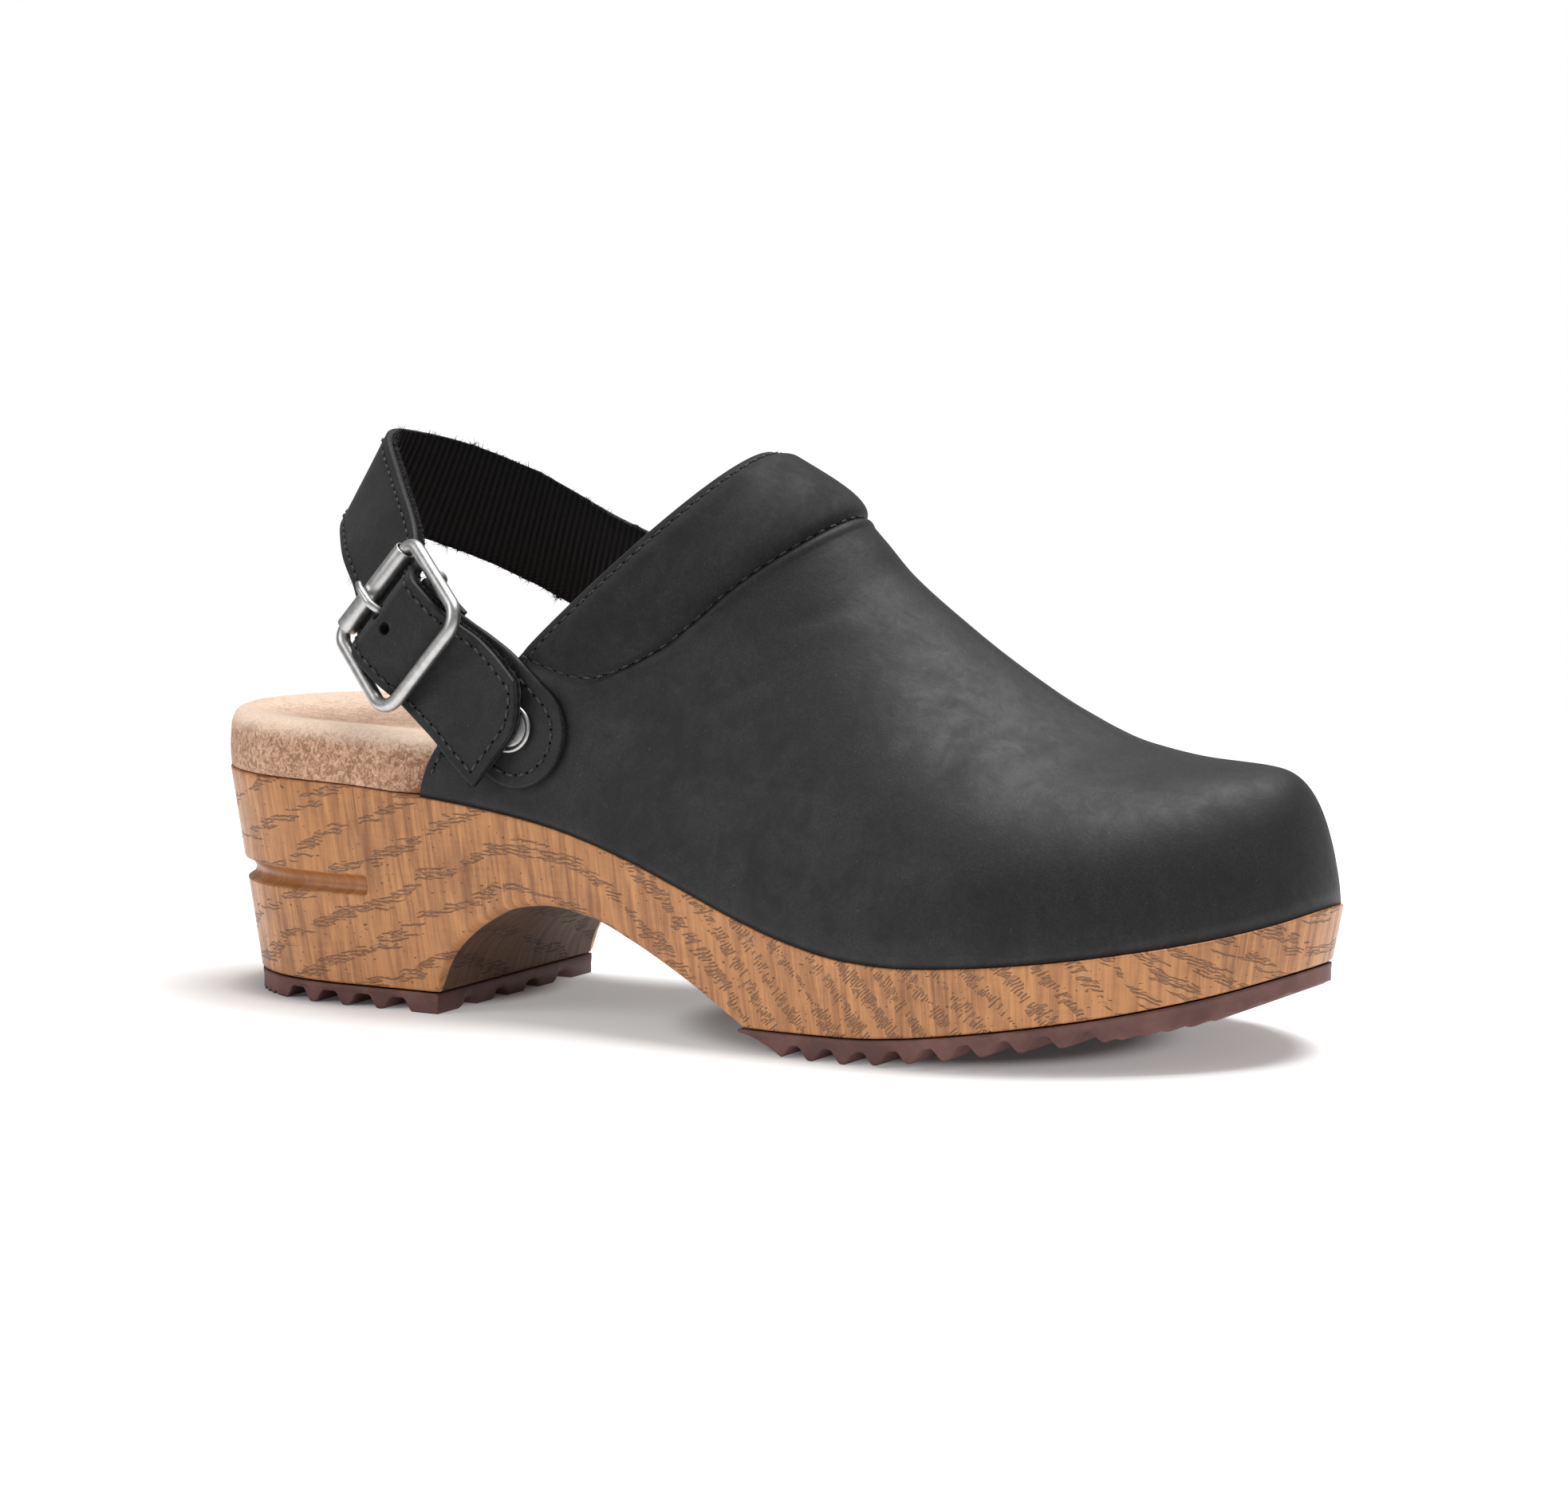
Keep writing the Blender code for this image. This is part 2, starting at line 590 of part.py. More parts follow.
def buckle_point(along, across, out):
    return BUCKLE_CENTRE + BUCKLE_ALONG * along + BUCKLE_ACROSS * across + BUCKLE_OUT * out


def route_of(points, widths):
    """A route's middle and width directions, as columns along its chord length."""
    points, widths = np.array(points, float), np.array(widths, float)
    chord = np.concatenate([[0], np.cumsum(np.linalg.norm(np.diff(points, axis=0), axis=1))])
    return dict(zip(("chord", "x", "y", "z", "wide_x", "wide_y", "wide_z"), (chord, *points.T, *widths.T)))


def ribbon(route, width, count, start, end):
    """A strip's middle face: start and end give how far each lengthwise line stops short."""
    lines = []
    for c in np.sin(np.linspace(-1, 1, 7) * math.pi / 2):
        place = np.linspace(start(c), route["chord"][-1] - end(c), count)
        middle = np.stack([at(route, axis, place) for axis in "xyz"], axis=-1)
        across = np.stack([at(route, "wide_" + axis, place) for axis in "xyz"], axis=-1)
        across /= np.linalg.norm(across, axis=-1, keepdims=True)
        lines.append(middle + across * c * width / 2)
    return np.stack(lines, axis=1)


def rounding(width):
    return lambda c: width / 2 * (1 - math.sqrt(max(0.0, 1 - c**2)))


def rest_on_wall(grid, outside, medial, height, first, last):
    """Moves a strip's points from their own place, at first, to a height over the upper, at last."""
    side = 1 if medial else -1
    for point in grid.reshape(-1, 3):
        if point[1] * side > 0 and point[0] > first:
            wall = wall_y(point[0], point[2], medial, outside) + side * height
            point[1] += (wall - point[1]) * blend(first, last, point[0])


def build_strap(where, cutters, outside):
    """A flat strap with a clipped tail, a round riveted end, and holes for the prong."""
    over_rivet = 3 * CLEARANCE + TAB_THICKNESS + RIVET_HEAD + STRAP_THICKNESS / 2
    over_wall = 3 * CLEARANCE + STRAP_THICKNESS / 2
    side, end = leaning(SIDE_LEAN, SIDE_TILT), leaning(END_LEAN, END_TILT)
    stops = [((x, wall_y(x, z, False, outside) - over_rivet, z), side) for x, z in STRAP_TAIL]
    stops += [(buckle_point(a, STRAP_SHIFT, o), BUCKLE_ACROSS) for a, o in STRAP_BUCKLE]
    for x, y, z, lean, tilt in zip(*STRAP_LOOP.values()):
        stops.append(((x, y, z), leaning(lean, tilt)))
    stops += [((x, wall_y(x, z, True, outside) + over_wall, z), end) for x, z in STRAP_END]
    route = route_of(*zip(*stops))
    grid = ribbon(
        route, STRAP_WIDTH, 57, lambda c: TAIL_CLIP * max(0.0, (c - 0.1) / 0.9) ** 2, rounding(STRAP_WIDTH)
    )
    rest_on_wall(grid, outside, False, over_rivet, *TAIL_REST)
    rest_on_wall(grid, outside, True, over_wall, *END_REST)
    strap = sheet("heel_strap", grid, where, STRAP_THICKNESS, 0.0)
    holes = ("prong_hole_cutter", PRONG_HOLE), ("spare_hole_cutter", SPARE_HOLE)
    for (name, along), radius in zip(holes, HOLE_RADIUS):
        centre = buckle_point(along, PRONG_ACROSS, 0.0)
        cut(strap, cylinder(name, centre, BUCKLE_OUT, radius, 16.0, cutters))
    return strap


def build_tab(where, cutters, outside):
    """A leather tab folded round the buckle's centre bar, with a slot for the prong."""
    over_wall = CLEARANCE + TAB_THICKNESS / 2
    side = leaning(SIDE_LEAN, SIDE_TILT)
    stops = [(buckle_point(a, 0.0, o), BUCKLE_ACROSS) for a, o in TAB_FOLD]
    stops += [((x, wall_y(x, z, False, outside) - over_wall, z), side) for x, z in TAB_RUN]
    grid = ribbon(route_of(*zip(*stops)), TAB_WIDTH, 33, lambda c: 0.0, rounding(TAB_WIDTH))
    rest_on_wall(grid, outside, False, over_wall, *TAB_REST)
    tab = sheet("buckle_tab", grid, where, TAB_THICKNESS, 0.0)
    half, back, front = TAB_SLOT["width"] / 2, TAB_SLOT["back"], TAB_SLOT["front"]
    corners = ((front, -12), (back, -12), (back, 3), (front, 3))
    sides = (PRONG_ACROSS - half, PRONG_ACROSS + half)
    slot = np.array([[buckle_point(a, c, o) for a, o in corners] for c in sides])
    cut(tab, loft("tab_slot_cutter", slot, cutters, (True, True), smooth=False))
    return tab


def cylinder(name, centre, axis, radius, depth, where, sides=16):
    shape = bmesh.new()
    bmesh.ops.create_cone(
        shape, cap_ends=True, segments=sides, radius1=radius * MM, radius2=radius * MM, depth=depth * MM
    )
    mesh = bpy.data.meshes.new(name)
    shape.to_mesh(mesh)
    shape.free()
    made = add_mesh(name, mesh, where, smooth=False)
    made.location = Vector(centre) * MM
    made.rotation_mode = "QUATERNION"
    made.rotation_quaternion = Vector(axis).to_track_quat("Z", "Y")
    return made


def corner(along, across, radius, start):
    """Points of a quarter turn of the buckle's wire."""
    turn = np.radians(start + np.linspace(0, 90, 6))
    return [buckle_point(along + radius * math.cos(a), across + radius * math.sin(a), 0.0) for a in turn]


def build_buckle(where, cutters):
    """A wire frame that widens to the front, its dropped centre bar, a roller and a prong."""
    a, rear, fore = BUCKLE_LENGTH / 2, BUCKLE_REAR / 2, BUCKLE_FRONT / 2
    wire = corner(a - REAR_CORNER, rear - REAR_CORNER, REAR_CORNER, 0)
    front = -a - BUCKLE_FORWARD
    wire += corner(FRONT_CORNER + front, fore - FRONT_CORNER, FRONT_CORNER, 90)
    wire += corner(FRONT_CORNER + front, FRONT_CORNER - fore, FRONT_CORNER, 180)
    wire += corner(a - REAR_CORNER, REAR_CORNER - rear, REAR_CORNER, 270)
    frame = tube("buckle_frame", wire, WIRE_RADIUS, where, cyclic=True)
    c = (rear + fore) / 2
    bar = [(c, 0.3), (c, -BAR_DROP), (-c, -BAR_DROP), (-c, 0.3)]
    bar = [buckle_point(0, across, out) for across, out in bar]
    cut(frame, tube("centre_bar_joiner", bar, BAR_RADIUS, cutters), "UNION")

    turn = np.linspace(0, 2 * math.pi, 17)[:-1]
    reach = rear - REAR_CORNER
    ring = [[buckle_point(a + ROLLER_BORE * math.cos(t), side, ROLLER_BORE * math.sin(t)) for t in turn]
            for side in (reach, -reach)]
    roller = sheet("buckle_roller", np.array(ring), where, ROLLER_WALL, 1.0, closed=True)

    loop = BAR_RADIUS + CLEARANCE + PRONG_RADIUS
    turn = np.radians(np.linspace(215, 10, 12))
    hook = [(loop * math.cos(t), loop * math.sin(t) - BAR_DROP) for t in turn]
    top = ROLLER_BORE + ROLLER_WALL + CLEARANCE + PRONG_RADIUS
    over = [(4.5, 0.2), (5.6, 2.0), (7.6, top - 0.2), (a, top), (a + 1.6, top - 0.4), (a + 2.6, top - 1.0)]
    path = [buckle_point(along, PRONG_ACROSS, out) for along, out in hook + over]
    prong = tube("buckle_prong", path, PRONG_RADIUS, where, sides=2)
    return frame, roller, prong


def build_rivet(name, where, outside, place, medial, under):
    """A low round head on the leather, square to the upper's side there."""
    x, z = place
    y = wall_y(x, z, medial, outside)
    slope_x = (wall_y(x + 2, z, medial, outside) - wall_y(x - 2, z, medial, outside)) / 4
    slope_z = (wall_y(x, z + 2, medial, outside) - wall_y(x, z - 2, medial, outside)) / 4
    out = Vector((slope_x, -1, slope_z)).normalized() * (-1 if medial else 1)
    centre = Vector((x, y, z)) + out * (under + CLEARANCE + RIVET_HEAD / 2)
    rivet = cylinder(name, centre, out, RIVET_RADIUS, RIVET_HEAD, where, sides=18)
    edge = rivet.modifiers.new("edge", "BEVEL")
    edge.width = RIVET_EDGE * MM
    edge.segments = 1
    return rivet


def centre_on_floor(parts):
    """Parents every object to an empty that puts the shoe's middle over the origin."""
    bpy.context.view_layer.update()
    graph = bpy.context.evaluated_depsgraph_get()
    corners = []
    for part in parts:
        shown = part.evaluated_get(graph)
        corners += [shown.matrix_world @ Vector(corner) for corner in shown.bound_box]
    low = Vector(map(min, zip(*corners)))
    high = Vector(map(max, zip(*corners)))
    root = bpy.data.objects.new("clog", None)
    root.location = (-(low.x + high.x) / 2, -(low.y + high.y) / 2, -low.z)
    bpy.context.scene.collection.objects.link(root)
    for made in bpy.data.objects:
        if made is not root:
            made.parent = root


def main():
    for old in list(bpy.data.objects):
        bpy.data.objects.remove(old)
    shoe = collection_of("platform_clog")
    cutters = collection_of("cutters")
    outside = upper_outside()
    tab_stack = CLEARANCE + TAB_THICKNESS
    strap_stack = 3 * CLEARANCE + STRAP_THICKNESS
    parts = {
        "wood": [build_sole_unit(shoe, cutters)],
        "rubber": [*build_treads(shoe, cutters)],
        "suede": [build_footbed(shoe)],
        "leather": [
            build_upper(shoe),
            build_strap(shoe, cutters, outside),
            build_tab(shoe, cutters, outside),
        ],
        "steel": [
            *build_buckle(shoe, cutters),
            build_rivet("rivet_lateral", shoe, outside, RIVET_LATERAL, False, tab_stack),
            build_rivet("rivet_medial", shoe, outside, RIVET_MEDIAL, True, strap_stack),
        ],
    }
    for name, made in parts.items():
        finish = material_of(name)
        for part in made:
            part.data.materials.append(finish)
    cutters.hide_render = True
    centre_on_floor([part for made in parts.values() for part in made])


main()
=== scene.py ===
import math

import bmesh
import bpy
import numpy as np
from mathutils import Matrix, Vector


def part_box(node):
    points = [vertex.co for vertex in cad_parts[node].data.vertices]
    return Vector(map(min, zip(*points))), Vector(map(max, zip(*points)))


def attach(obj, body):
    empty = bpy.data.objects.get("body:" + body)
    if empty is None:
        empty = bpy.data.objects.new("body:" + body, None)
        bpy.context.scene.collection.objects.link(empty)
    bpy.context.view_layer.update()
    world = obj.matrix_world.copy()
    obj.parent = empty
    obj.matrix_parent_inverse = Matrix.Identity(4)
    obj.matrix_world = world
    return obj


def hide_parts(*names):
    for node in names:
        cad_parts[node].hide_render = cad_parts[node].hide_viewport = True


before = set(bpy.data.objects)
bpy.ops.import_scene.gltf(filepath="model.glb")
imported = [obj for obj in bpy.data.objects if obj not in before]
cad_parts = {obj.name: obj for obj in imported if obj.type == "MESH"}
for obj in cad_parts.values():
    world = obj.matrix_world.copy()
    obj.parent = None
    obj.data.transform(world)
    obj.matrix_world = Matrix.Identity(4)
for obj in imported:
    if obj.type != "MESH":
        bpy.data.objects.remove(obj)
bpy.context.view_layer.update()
mm = 0.001  # tables below are in millimetres: x from the heel's back to the toe, -y the outer side
quarter = math.pi / 2


def columns(names, *rows):  # a table's columns by name, the first says where a row lies
    return dict(zip(names.split(), np.array(rows, float).T))


def chain(*parts):  # arrays end to end
    return np.concatenate(parts)


def beside(*parts):  # grids side by side
    return np.concatenate(parts, axis=1)


def together(*parts):  # points from their coordinates
    return np.stack(np.broadcast_arrays(*parts), axis=-1)


def unit(vectors):
    return vectors / np.maximum(np.linalg.norm(vectors, axis=-1, keepdims=True), 1e-9)


def chordOf(path):  # length along a path, or along each column of a grid
    step = np.linalg.norm(np.diff(path, axis=0), axis=-1)
    return chain(np.zeros((1, *step.shape[1:])), np.cumsum(step, axis=0))


def circle(sides):  # angles round a circle
    return np.linspace(0, 2 * math.pi, sides, endpoint=False)


def smooth(low, high, value):  # 0 below low, 1 above high, s*s*(3-2s) between
    s = np.clip((np.asarray(value, float) - low) / (high - low), 0, 1)
    return s * s * (3 - 2 * s)


def arched(share):  # sqrt(1 - s*s): a quarter circle, 1 at no share and 0 at a full one
    return np.sqrt(np.clip(1 - share**2, 0, 1))


def rounded(away, radius):  # how full a rounded edge is at a distance from it
    return arched(np.clip(1 - away / radius, 0, 1))


def bell(offset, width=1.0):  # exp(-q*q)
    return np.exp(-((offset / width) ** 2))


# a cubic through the rows that never overshoots: its slopes are harmonic means of the two
# neighbouring rises, and zero where the rises change sign
def read(rows, name, place):
    x, y = next(iter(rows.values())), rows[name]
    step = np.diff(x)
    rise = np.diff(y) / step
    near, far = 2 * step[1:] + step[:-1], step[1:] + 2 * step[:-1]
    same = rise[1:] * rise[:-1] > 0
    safe = np.where(same, rise[1:] * rise[:-1], 1.0)
    mean = (near + far) * safe / np.where(same, near * rise[1:] + far * rise[:-1], 1.0)
    slope = chain(rise[:1], np.where(same, mean, 0.0), rise[-1:])
    place = np.clip(np.asarray(place, float), x[0], x[-1])
    k = np.clip(np.searchsorted(x, place, side="right") - 1, 0, len(step) - 1)
    s = (place - x[k]) / step[k]
    start = y[k] * (1 + 2 * s) * (1 - s) ** 2 + y[k + 1] * s**2 * (3 - 2 * s)
    return start + step[k] * s * (1 - s) * (slope[k] * (1 - s) - slope[k + 1] * s)


# form of the sole that every other piece is placed by
sole = {
    "length": 250.2, "heelRound": 34.0, "heelPower": 2.5, "toeRound": 62.0, "toePower": (2.35, 2.05),
    "heelTaper": 7.0, "toeTaper": 2.2, "gap": 0.3, "wall": 2.2,
    "plan": columns(
        "along swing half taper",
        (0, 0, 30, 2.6), (25, 0, 33, 2.6), (60, 0, 34.5, 2.6), (95, -.5, 36, 2.4), (130, -1.5, 41, 2),
        (160, -.5, 46.5, 1.8), (185, 1, 48.5, 1.8), (210, 3.5, 47, 1.8), (234, 5.5, 42, 1.8),
        (251, 6.5, 36, 1.8)),
    "side": columns(
        "along tread seam top",
        (0, 0, 4.6, 47.8), (40, 0, 4.6, 47.2), (62, 0, 4.6, 45.8), (76, 0, 4.6, 44.4), (90, 0, 4.6, 42.4),
        (112, 0, 4.6, 37.1), (126, 0, 4.7, 32.6), (140, 0, 5, 27.7), (155, 0, 5.2, 23.4),
        (168, 0, 5.4, 21), (178, .9, 6.1, 20.5), (192, 3, 7.8, 21.2), (208, 5.4, 10.1, 22.7),
        (223, 7.7, 12.7, 24.7), (236, 10.5, 15.6, 26.9), (246, 14.6, 18.6, 29.4), (251, 16.6, 20.2, 31.4)),
    "arch": columns(
        "along roof",
        (64.3, 4.6), (66, 9.4), (68.4, 13.4), (72.2, 17.2), (77.5, 20.9), (84, 23.9), (92.5, 25),
        (102, 23.8), (114, 19.6), (127, 13.6), (139.5, 7), (144, 4.4)),
}


def sideOf(name, x):  # height of the tread, the seam or the top along the sole
    return read(sole["side"], name, x)


# x of the sole's back and front, at a level from 0, the wood's foot, to 1, its top
def soleEnds(level=1.0, inset=0.0):
    level = np.asarray(level, float)
    return (sole["heelTaper"] * (1 - level) + inset,
            sole["length"] - sole["toeTaper"] * (1 - level) - inset)


# y of the outer and inner edge: half the width times a superellipse at each round end
def soleEdges(x, level=1.0, inset=0.0):
    back, front = soleEnds(level, inset)
    heel = np.clip(1 - (x - back) / sole["heelRound"], 0, 1) ** sole["heelPower"]
    toe = np.clip(1 - (front - x) / sole["toeRound"], 0, 1)
    half = read(sole["plan"], "half", x) - read(sole["plan"], "taper", x) * (1 - level) - inset
    half = half * (1 - heel) ** (1 / sole["heelPower"])
    outer, inner = (half * (1 - toe**power) ** (1 / power) for power in sole["toePower"])
    middle = read(sole["plan"], "swing", x)
    return middle - outer, middle + inner


spine = np.linspace(0, sole["length"], 2001)
soleLow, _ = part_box("sole_unit")
# from the shoe's own frame to the row frame
shift = np.array([soleLow.x / mm, soleLow.y / mm - soleEdges(spine)[0].min(), 0.0])
print("shift", shift.round(3))


# quads between neighbours of a grid whose columns close on themselves, as numbers of its points
# and as numbers in its maps, where the first column is there again at the end
def gridQuads(rows, count):
    i, j = np.meshgrid(np.arange(rows - 1), np.arange(count), indexing="ij")

    def quads(wide, right):
        low, high = i * wide, (i + 1) * wide
        return together(low + j, high + j, high + right, low + right).reshape(-1, 4)

    return quads(count, (j + 1) % count), quads(count + 1, j + 1)


# puts points into a mesh in the row frame, merges its poles and seams, and turns it outwards
def meshPiece(name, points, faces, maps=None):
    mesh = bpy.data.meshes.new(name)
    mesh.from_pydata(((points.reshape(-1, 3) + shift) * mm).tolist(), [], [list(face) for face in faces])
    for label, corner in (maps or {}).items():
        layer = mesh.uv_layers.new(name=label)
        layer.uv.foreach_set("vector", np.ascontiguousarray(corner, np.float32).reshape(-1))
    shape = bmesh.new()
    shape.from_mesh(mesh)
    bmesh.ops.remove_doubles(shape, verts=shape.verts, dist=2e-6)
    bmesh.ops.dissolve_degenerate(shape, edges=shape.edges, dist=1e-7)
    bmesh.ops.recalc_face_normals(shape, faces=shape.faces)
    if shape.calc_volume(signed=True) < 0:
        bmesh.ops.reverse_faces(shape, faces=shape.faces)
    shape.to_mesh(mesh)
    shape.free()
    mesh.polygons.foreach_set("use_smooth", np.ones(len(mesh.polygons), bool))
    piece = bpy.data.objects.new(name, mesh)
    bpy.context.scene.collection.objects.link(piece)
    return piece


def gridPiece(name, grid, **maps):  # a closed grid and its maps, two values for each of its points
    quads, corners = gridQuads(*grid.shape[:2])
    closed = {label: beside(flat, flat[:, :1]).reshape(-1, 2)[corners] for label, flat in maps.items()}
    return meshPiece(name, grid, quads, closed)


def gridsPiece(name, grids):  # several closed grids as one piece
    faces, start = [], 0
    for grid in grids:
        faces.append(gridQuads(*grid.shape[:2])[0] + start)
        start += grid.shape[0] * grid.shape[1]
    return meshPiece(name, chain(*(grid.reshape(-1, 3) for grid in grids)), chain(*faces))


def dress(piece, finish, slot, *nodes):  # material, slot, which is not used, body and the solids it stands for
    piece.data.materials.clear()
    piece.data.materials.append(finish.material)
    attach(piece, "root")
    if nodes:
        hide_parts(*nodes)
    print("made", piece.name, sum(len(face.vertices) - 2 for face in piece.data.polygons), "triangles")
    return piece


# a value in a finish's node tree: sums and products on it add Math nodes
class Value:
    def __init__(self, finish, socket):
        self.finish, self.socket = finish, socket

    def __add__(self, other):
        return self.finish.math("ADD", self, other)

    def __sub__(self, other):
        return self.finish.math("SUBTRACT", self, other)

    def __rsub__(self, other):
        return self.finish.math("SUBTRACT", other, self)

    def __mul__(self, other):
        return self.finish.math("MULTIPLY", self, other)

    def __truediv__(self, other):
        return self.finish.math("DIVIDE", self, other)

    __radd__ = __add__
    __rmul__ = __mul__


def tint(red, green, blue):  # linear colour of a screen colour from 0 to 255
    part = np.array([red, green, blue]) / 255
    part = np.where(part <= 0.04045, part / 12.92, ((part + 0.055) / 1.055) ** 2.4)
    return (*part.tolist(), 1.0)


class Finish:
    def __init__(self, name, **fixed):
        self.material = bpy.data.materials.new(name)
        self.material.use_nodes = True
        self.tree = self.material.node_tree
        self.shader = self.tree.nodes["Principled BSDF"]
        self.paint(**fixed)

    # any node: its type, its settings, which are set first, and its sockets' values or links
    def add(self, kind, settings=None, sockets=None, out=0):
        node = self.tree.nodes.new("ShaderNode" + kind)
        for key, value in (settings or {}).items():
            setattr(node, key, value)
        for key, value in (sockets or {}).items():
            self.feed(node.inputs[key], value)
        return Value(self, node.outputs[out])

    def feed(self, socket, value):
        if isinstance(value, Value):
            self.tree.links.new(value.socket, socket)
        else:
            socket.default_value = value

    def paint(self, **sockets):  # feeds the shader
        for label, value in sockets.items():
            self.feed(self.shader.inputs[label.replace("_", " ")], value)

    def math(self, operation, a, b=0.0):
        return self.add("Math", {"operation": operation}, {0: a, 1: b})

    def mix(self, share, a, b):
        return self.add("Mix", {"data_type": "RGBA"}, {0: share, 6: a, 7: b}, 2)

    def step(self, value, low, high, a=0.0, b=1.0):  # smooth rise of a value from a to b
        return self.add("MapRange", {"interpolation_type": "SMOOTHSTEP"},
                        {"Value": value, "From Min": low, "From Max": high, "To Min": a, "To Max": b})

    def place(self):  # millimetres in the row frame
        return self.scaled(self.add("TexCoord", out="Object"), (1000, 1000, 1000))

    def flat(self, label):  # millimetres on a piece's own map
        return self.add("UVMap", {"uv_map": label})

    def scaled(self, vector, scale, turn=0.0):
        return self.add("Mapping", {"vector_type": "POINT"},
                        {"Vector": vector, "Rotation": (0, 0, turn), "Scale": scale})

    def parts(self, vector):
        return [self.add("SeparateXYZ", None, {0: vector}, k) for k in range(3)]

    def noise(self, vector, scale, detail=2.0, rough=0.5, warp=0.0, turn=0.0):
        if isinstance(scale, tuple):  # stretched along its axes, then turned
            vector, scale = self.scaled(vector, scale, turn), 1.0
        return self.add("TexNoise", None, {"Vector": vector, "Scale": scale, "Detail": detail,
                                           "Roughness": rough, "Distortion": warp})

    def bump(self, height, distance, strength):
        return self.add("Bump", None, {"Height": height, "Distance": distance * mm, "Strength": strength})


# wood-look unit: warm brown streaks that stand nearly upright, and bands of engraved strokes, one over
# the other and each with ends of its own, that lie level at the heel and steep at the forefoot
wood = {"light": tint(216, 153, 96), "mid": tint(184, 124, 74), "dark": tint(134, 84, 50),
        "pore": tint(150, 108, 76), "rim": tint(90, 58, 38), "shade": tint(40, 21, 9),
        "amber": tint(146, 86, 38), "bandStep": 9.0, "stroke": 0.82, "reach": 1.55, "turn": 0.24,
        "archMark": -100.0, "archFrom": -60, "archTo": -90}


def woodLook():
    f = Finish("wood", Specular_IOR_Level=0.4, Coat_Roughness=0.25)
    grain = f.flat("grain")
    across, under, _ = f.parts(f.flat("band"))
    hollow, strokeLine, _ = f.parts(f.flat("carving"))
    wander = f.noise(grain, 0.05)
    slow = f.noise(grain, 0.022)
    streaks = f.noise(grain, (0.55, 0.045, 1), 3, 0.62, 0.35, wood["turn"])
    hairs = f.noise(grain, (2.4, 0.09, 1), 2, 0.6, 0.0, wood["turn"])
    ripple = f.noise(grain, (0.12, 0.55, 1), 2, 0.6, 0.8, wood["turn"])
    tone = f.step(streaks * 0.66 + hairs * 0.2 + slow * 0.26 + ripple * 0.1, 0.42, 0.8)
    bare = f.mix(tone, wood["dark"], wood["light"])
    bare = f.mix(f.step(slow, 0.35, 0.65, 0.1, 0.45), bare, wood["mid"])
    bare = f.mix(f.step(hollow, 0.1, 1.4, 0.0, 0.62), bare, wood["amber"])
    # a stroke is a cell of rows and lines, with its dice for place, reach and whether it is there
    row = (across + wander * 7.0) / wood["bandStep"]
    off = (f.math("FRACT", row) - 0.5) * wood["bandStep"]
    fine = f.noise(grain, 1.9, 2, 0.6)
    line = (strokeLine + f.noise(grain, 0.3, 1) * 1.4) / wood["stroke"]
    cell = f.add("CombineXYZ", None, {0: f.math("FLOOR", line), 1: f.math("FLOOR", row)})
    first, second, third = f.parts(f.add("TexWhiteNoise", {"noise_dimensions": "2D"}, {"Vector": cell}, 1))
    reach = (0.45 + second * 0.9) * f.step(f.noise(grain, 0.09, 1), 0.3, 0.5, 0.25, 1.0)
    reach = reach * f.math("MAXIMUM", under, 1.0) * wood["reach"]
    past = f.math("ABSOLUTE", off + (first - 0.5) * 1.5 + (fine - 0.5) * 0.7) - reach
    broken = f.step(f.noise(grain, (0.3, 1.1, 1), 1), 0.36, 0.42)
    thick = f.step(f.noise(grain, 0.42, 1), 0.46, 0.62, 0.24, 0.5)
    edge = f.math("ABSOLUTE", f.math("FRACT", line) - 0.5) + (fine - 0.5) * 0.3 - thick
    depth = f.math("MINIMUM", 0.0 - past, 0.0 - edge * wood["stroke"])
    stroke = f.step(depth, -0.04, 0.1) * broken * f.step(third, 0.1, 0.12)
    stroke = stroke * f.step(hollow, 0.05, 0.3, 1.0, 0.15)
    speck = f.step(f.noise(grain, (0.85, 1.5, 1), 1, 0.4, 0.3), 0.715, 0.745)
    pore = f.math("MAXIMUM", stroke, speck)
    shade = f.mix(f.step(depth, 0.08, 0.3), wood["rim"], wood["pore"])
    carved = f.mix(pore * 0.86, bare, shade)

    def inArch(a, b):  # a outside the arch, b in it, where the wood is darker by painted shade and dull
        return f.step(under, wood["archFrom"], wood["archTo"], a, b)

    # inside the arch the colour is drawn most of the way to the dark shade colour: painted shade of the hollow
    # under the shoe
    f.paint(Base_Color=f.mix(inArch(0.0, 0.82), carved, wood["shade"]),
            Roughness=f.step(tone, 0, 1, 0.44, 0.34) + pore * 0.12 + inArch(0.0, 0.22),
            Coat_Weight=inArch(0.16, 0.0) - pore * 0.04,
            Normal=f.bump(hairs * 0.06 + ripple * 0.05 - pore * 0.55, 0.35, 0.6))
    return f


# moulded rubber: maroon brown with a little dust
rubber = {"body": tint(92, 57, 53), "worn": tint(120, 82, 75), "deep": tint(46, 27, 26)}


def rubberLook():
    f = Finish("rubber", Specular_IOR_Level=0.45)
    cloud = f.noise(f.place(), 0.09, 3, 0.6)
    grit = f.noise(f.place(), 2.2, 2, 0.6)
    skin = f.mix(f.step(cloud, 0.35, 0.7), rubber["body"], rubber["worn"])
    f.paint(Base_Color=f.mix(f.step(grit, 0.58, 0.8, 0, 0.35), skin, rubber["deep"]),
            Roughness=f.step(cloud, 0.3, 0.7, 0.5, 0.62), Normal=f.bump(grit, 0.05, 0.35))
    return f


woodFinish, rubberFinish = woodLook(), rubberLook()
print("sole finishes")


